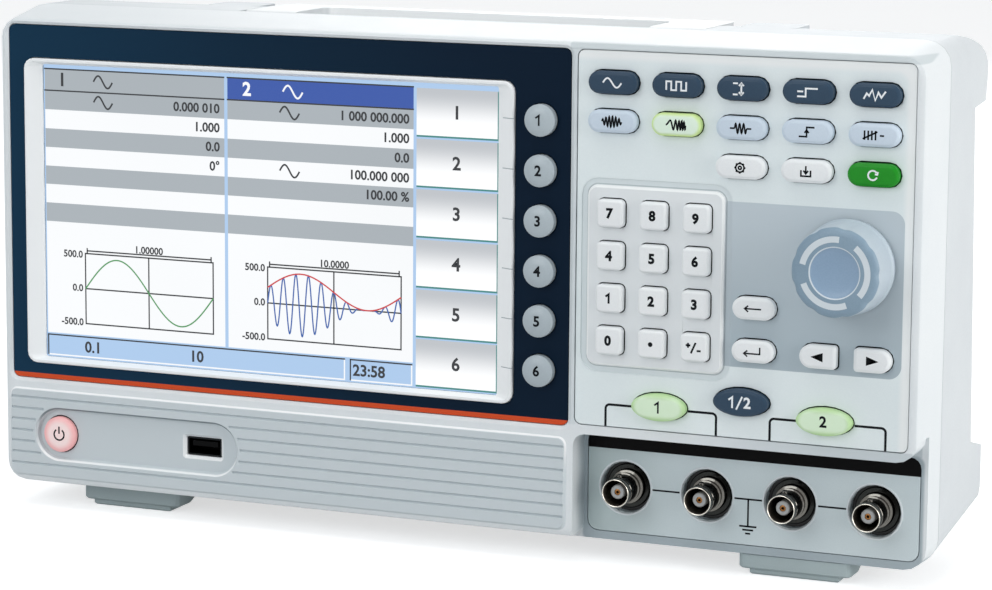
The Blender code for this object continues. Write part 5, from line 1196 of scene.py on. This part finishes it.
white = (1.0, 1.0, 1.0, 1.0)
floor_mesh = bpy.data.meshes.new("floor")
floor_mesh.from_pydata([(-6, -6, 0), (6, -6, 0), (6, 6, 0), (-6, 6, 0)], [], [(0, 1, 2, 3)])
floor = bpy.data.objects.new("floor", floor_mesh)
bpy.context.scene.collection.objects.link(floor)
floor_paint, paint = new_material("floor_paint", Roughness=0.9, Emission_Color=white)
paint.put(Base_Color=paint.mixed(paint.noise(6.0), (206, 207, 208), (214, 215, 216)),
          Emission_Strength=paint.times(in_sight(paint), 0.62))
floor_mesh.materials.append(floor_paint)

world = bpy.data.worlds.new("studio")
bpy.context.scene.world = world
world.use_nodes = True
paint = Paint(world.node_tree, world.node_tree.nodes["Background"])
paint.put(Color=paint.mixed(in_sight(paint), (0.33, 0.345, 0.355, 1.0), white))


def lamp(name, place, target, width, height, watts, tint=(1.0, 1.0, 1.0)):
    """A rectangular soft lamp at a place, aimed at a target."""
    light = bpy.data.lights.new(name, "AREA")
    light.shape = "RECTANGLE"
    light.size = width
    light.size_y = height
    light.energy = watts
    light.color = tint
    made = bpy.data.objects.new(name, light)
    bpy.context.scene.collection.objects.link(made)
    made.location = place
    aim = np.array(target) - np.array(place)
    flat = math.hypot(aim[0], aim[1])
    made.rotation_euler = (math.atan2(flat, -aim[2]), 0.0, math.atan2(-aim[0], aim[1]))


middle = (0.0, 0.0, 0.1)
lamp("top_light", (-0.1, -0.3, 1.3), middle, 1.0, 0.8, 5.4)
lamp("right_light", (1.2, -0.15, 0.25), (0.05, 0.0, 0.1), 0.8, 1.0, 10.4, (1.0, 0.985, 0.965))
lamp("rear_fill", (-0.35, 1.5, 0.8), middle, 1.0, 0.8, 6.0)
lamp("front_fill", (-0.5, -1.4, 0.8), middle, 1.0, 0.8, 7.2, (0.97, 0.99, 1.0))

picture_width, picture_height, focal_length, film_width = 992.0, 590.0, 3321.0, 36.0
axis_x, axis_y = 486.0, 262.0
lens = bpy.data.cameras.new("camera")
lens.sensor_width = film_width
lens.lens = focal_length / picture_width * film_width
lens.shift_x = (picture_width / 2 - axis_x) / picture_width
lens.shift_y = (axis_y - picture_height / 2) / picture_width
lens.clip_start = 0.05
camera = bpy.data.objects.new("camera", lens)
bpy.context.scene.collection.objects.link(camera)
camera.location = (0.44205, -1.0451, 0.2711)
around, above, roll = math.radians(22.73), math.radians(8.84), math.radians(0.40)
camera.rotation_euler = (math.pi / 2 - above, 0.0, around)
camera.rotation_euler = (camera.rotation_euler.to_matrix() @ Matrix.Rotation(roll, 3, "Z")).to_euler()
bpy.context.scene.camera = camera
bpy.context.scene.view_settings.view_transform = "Standard"
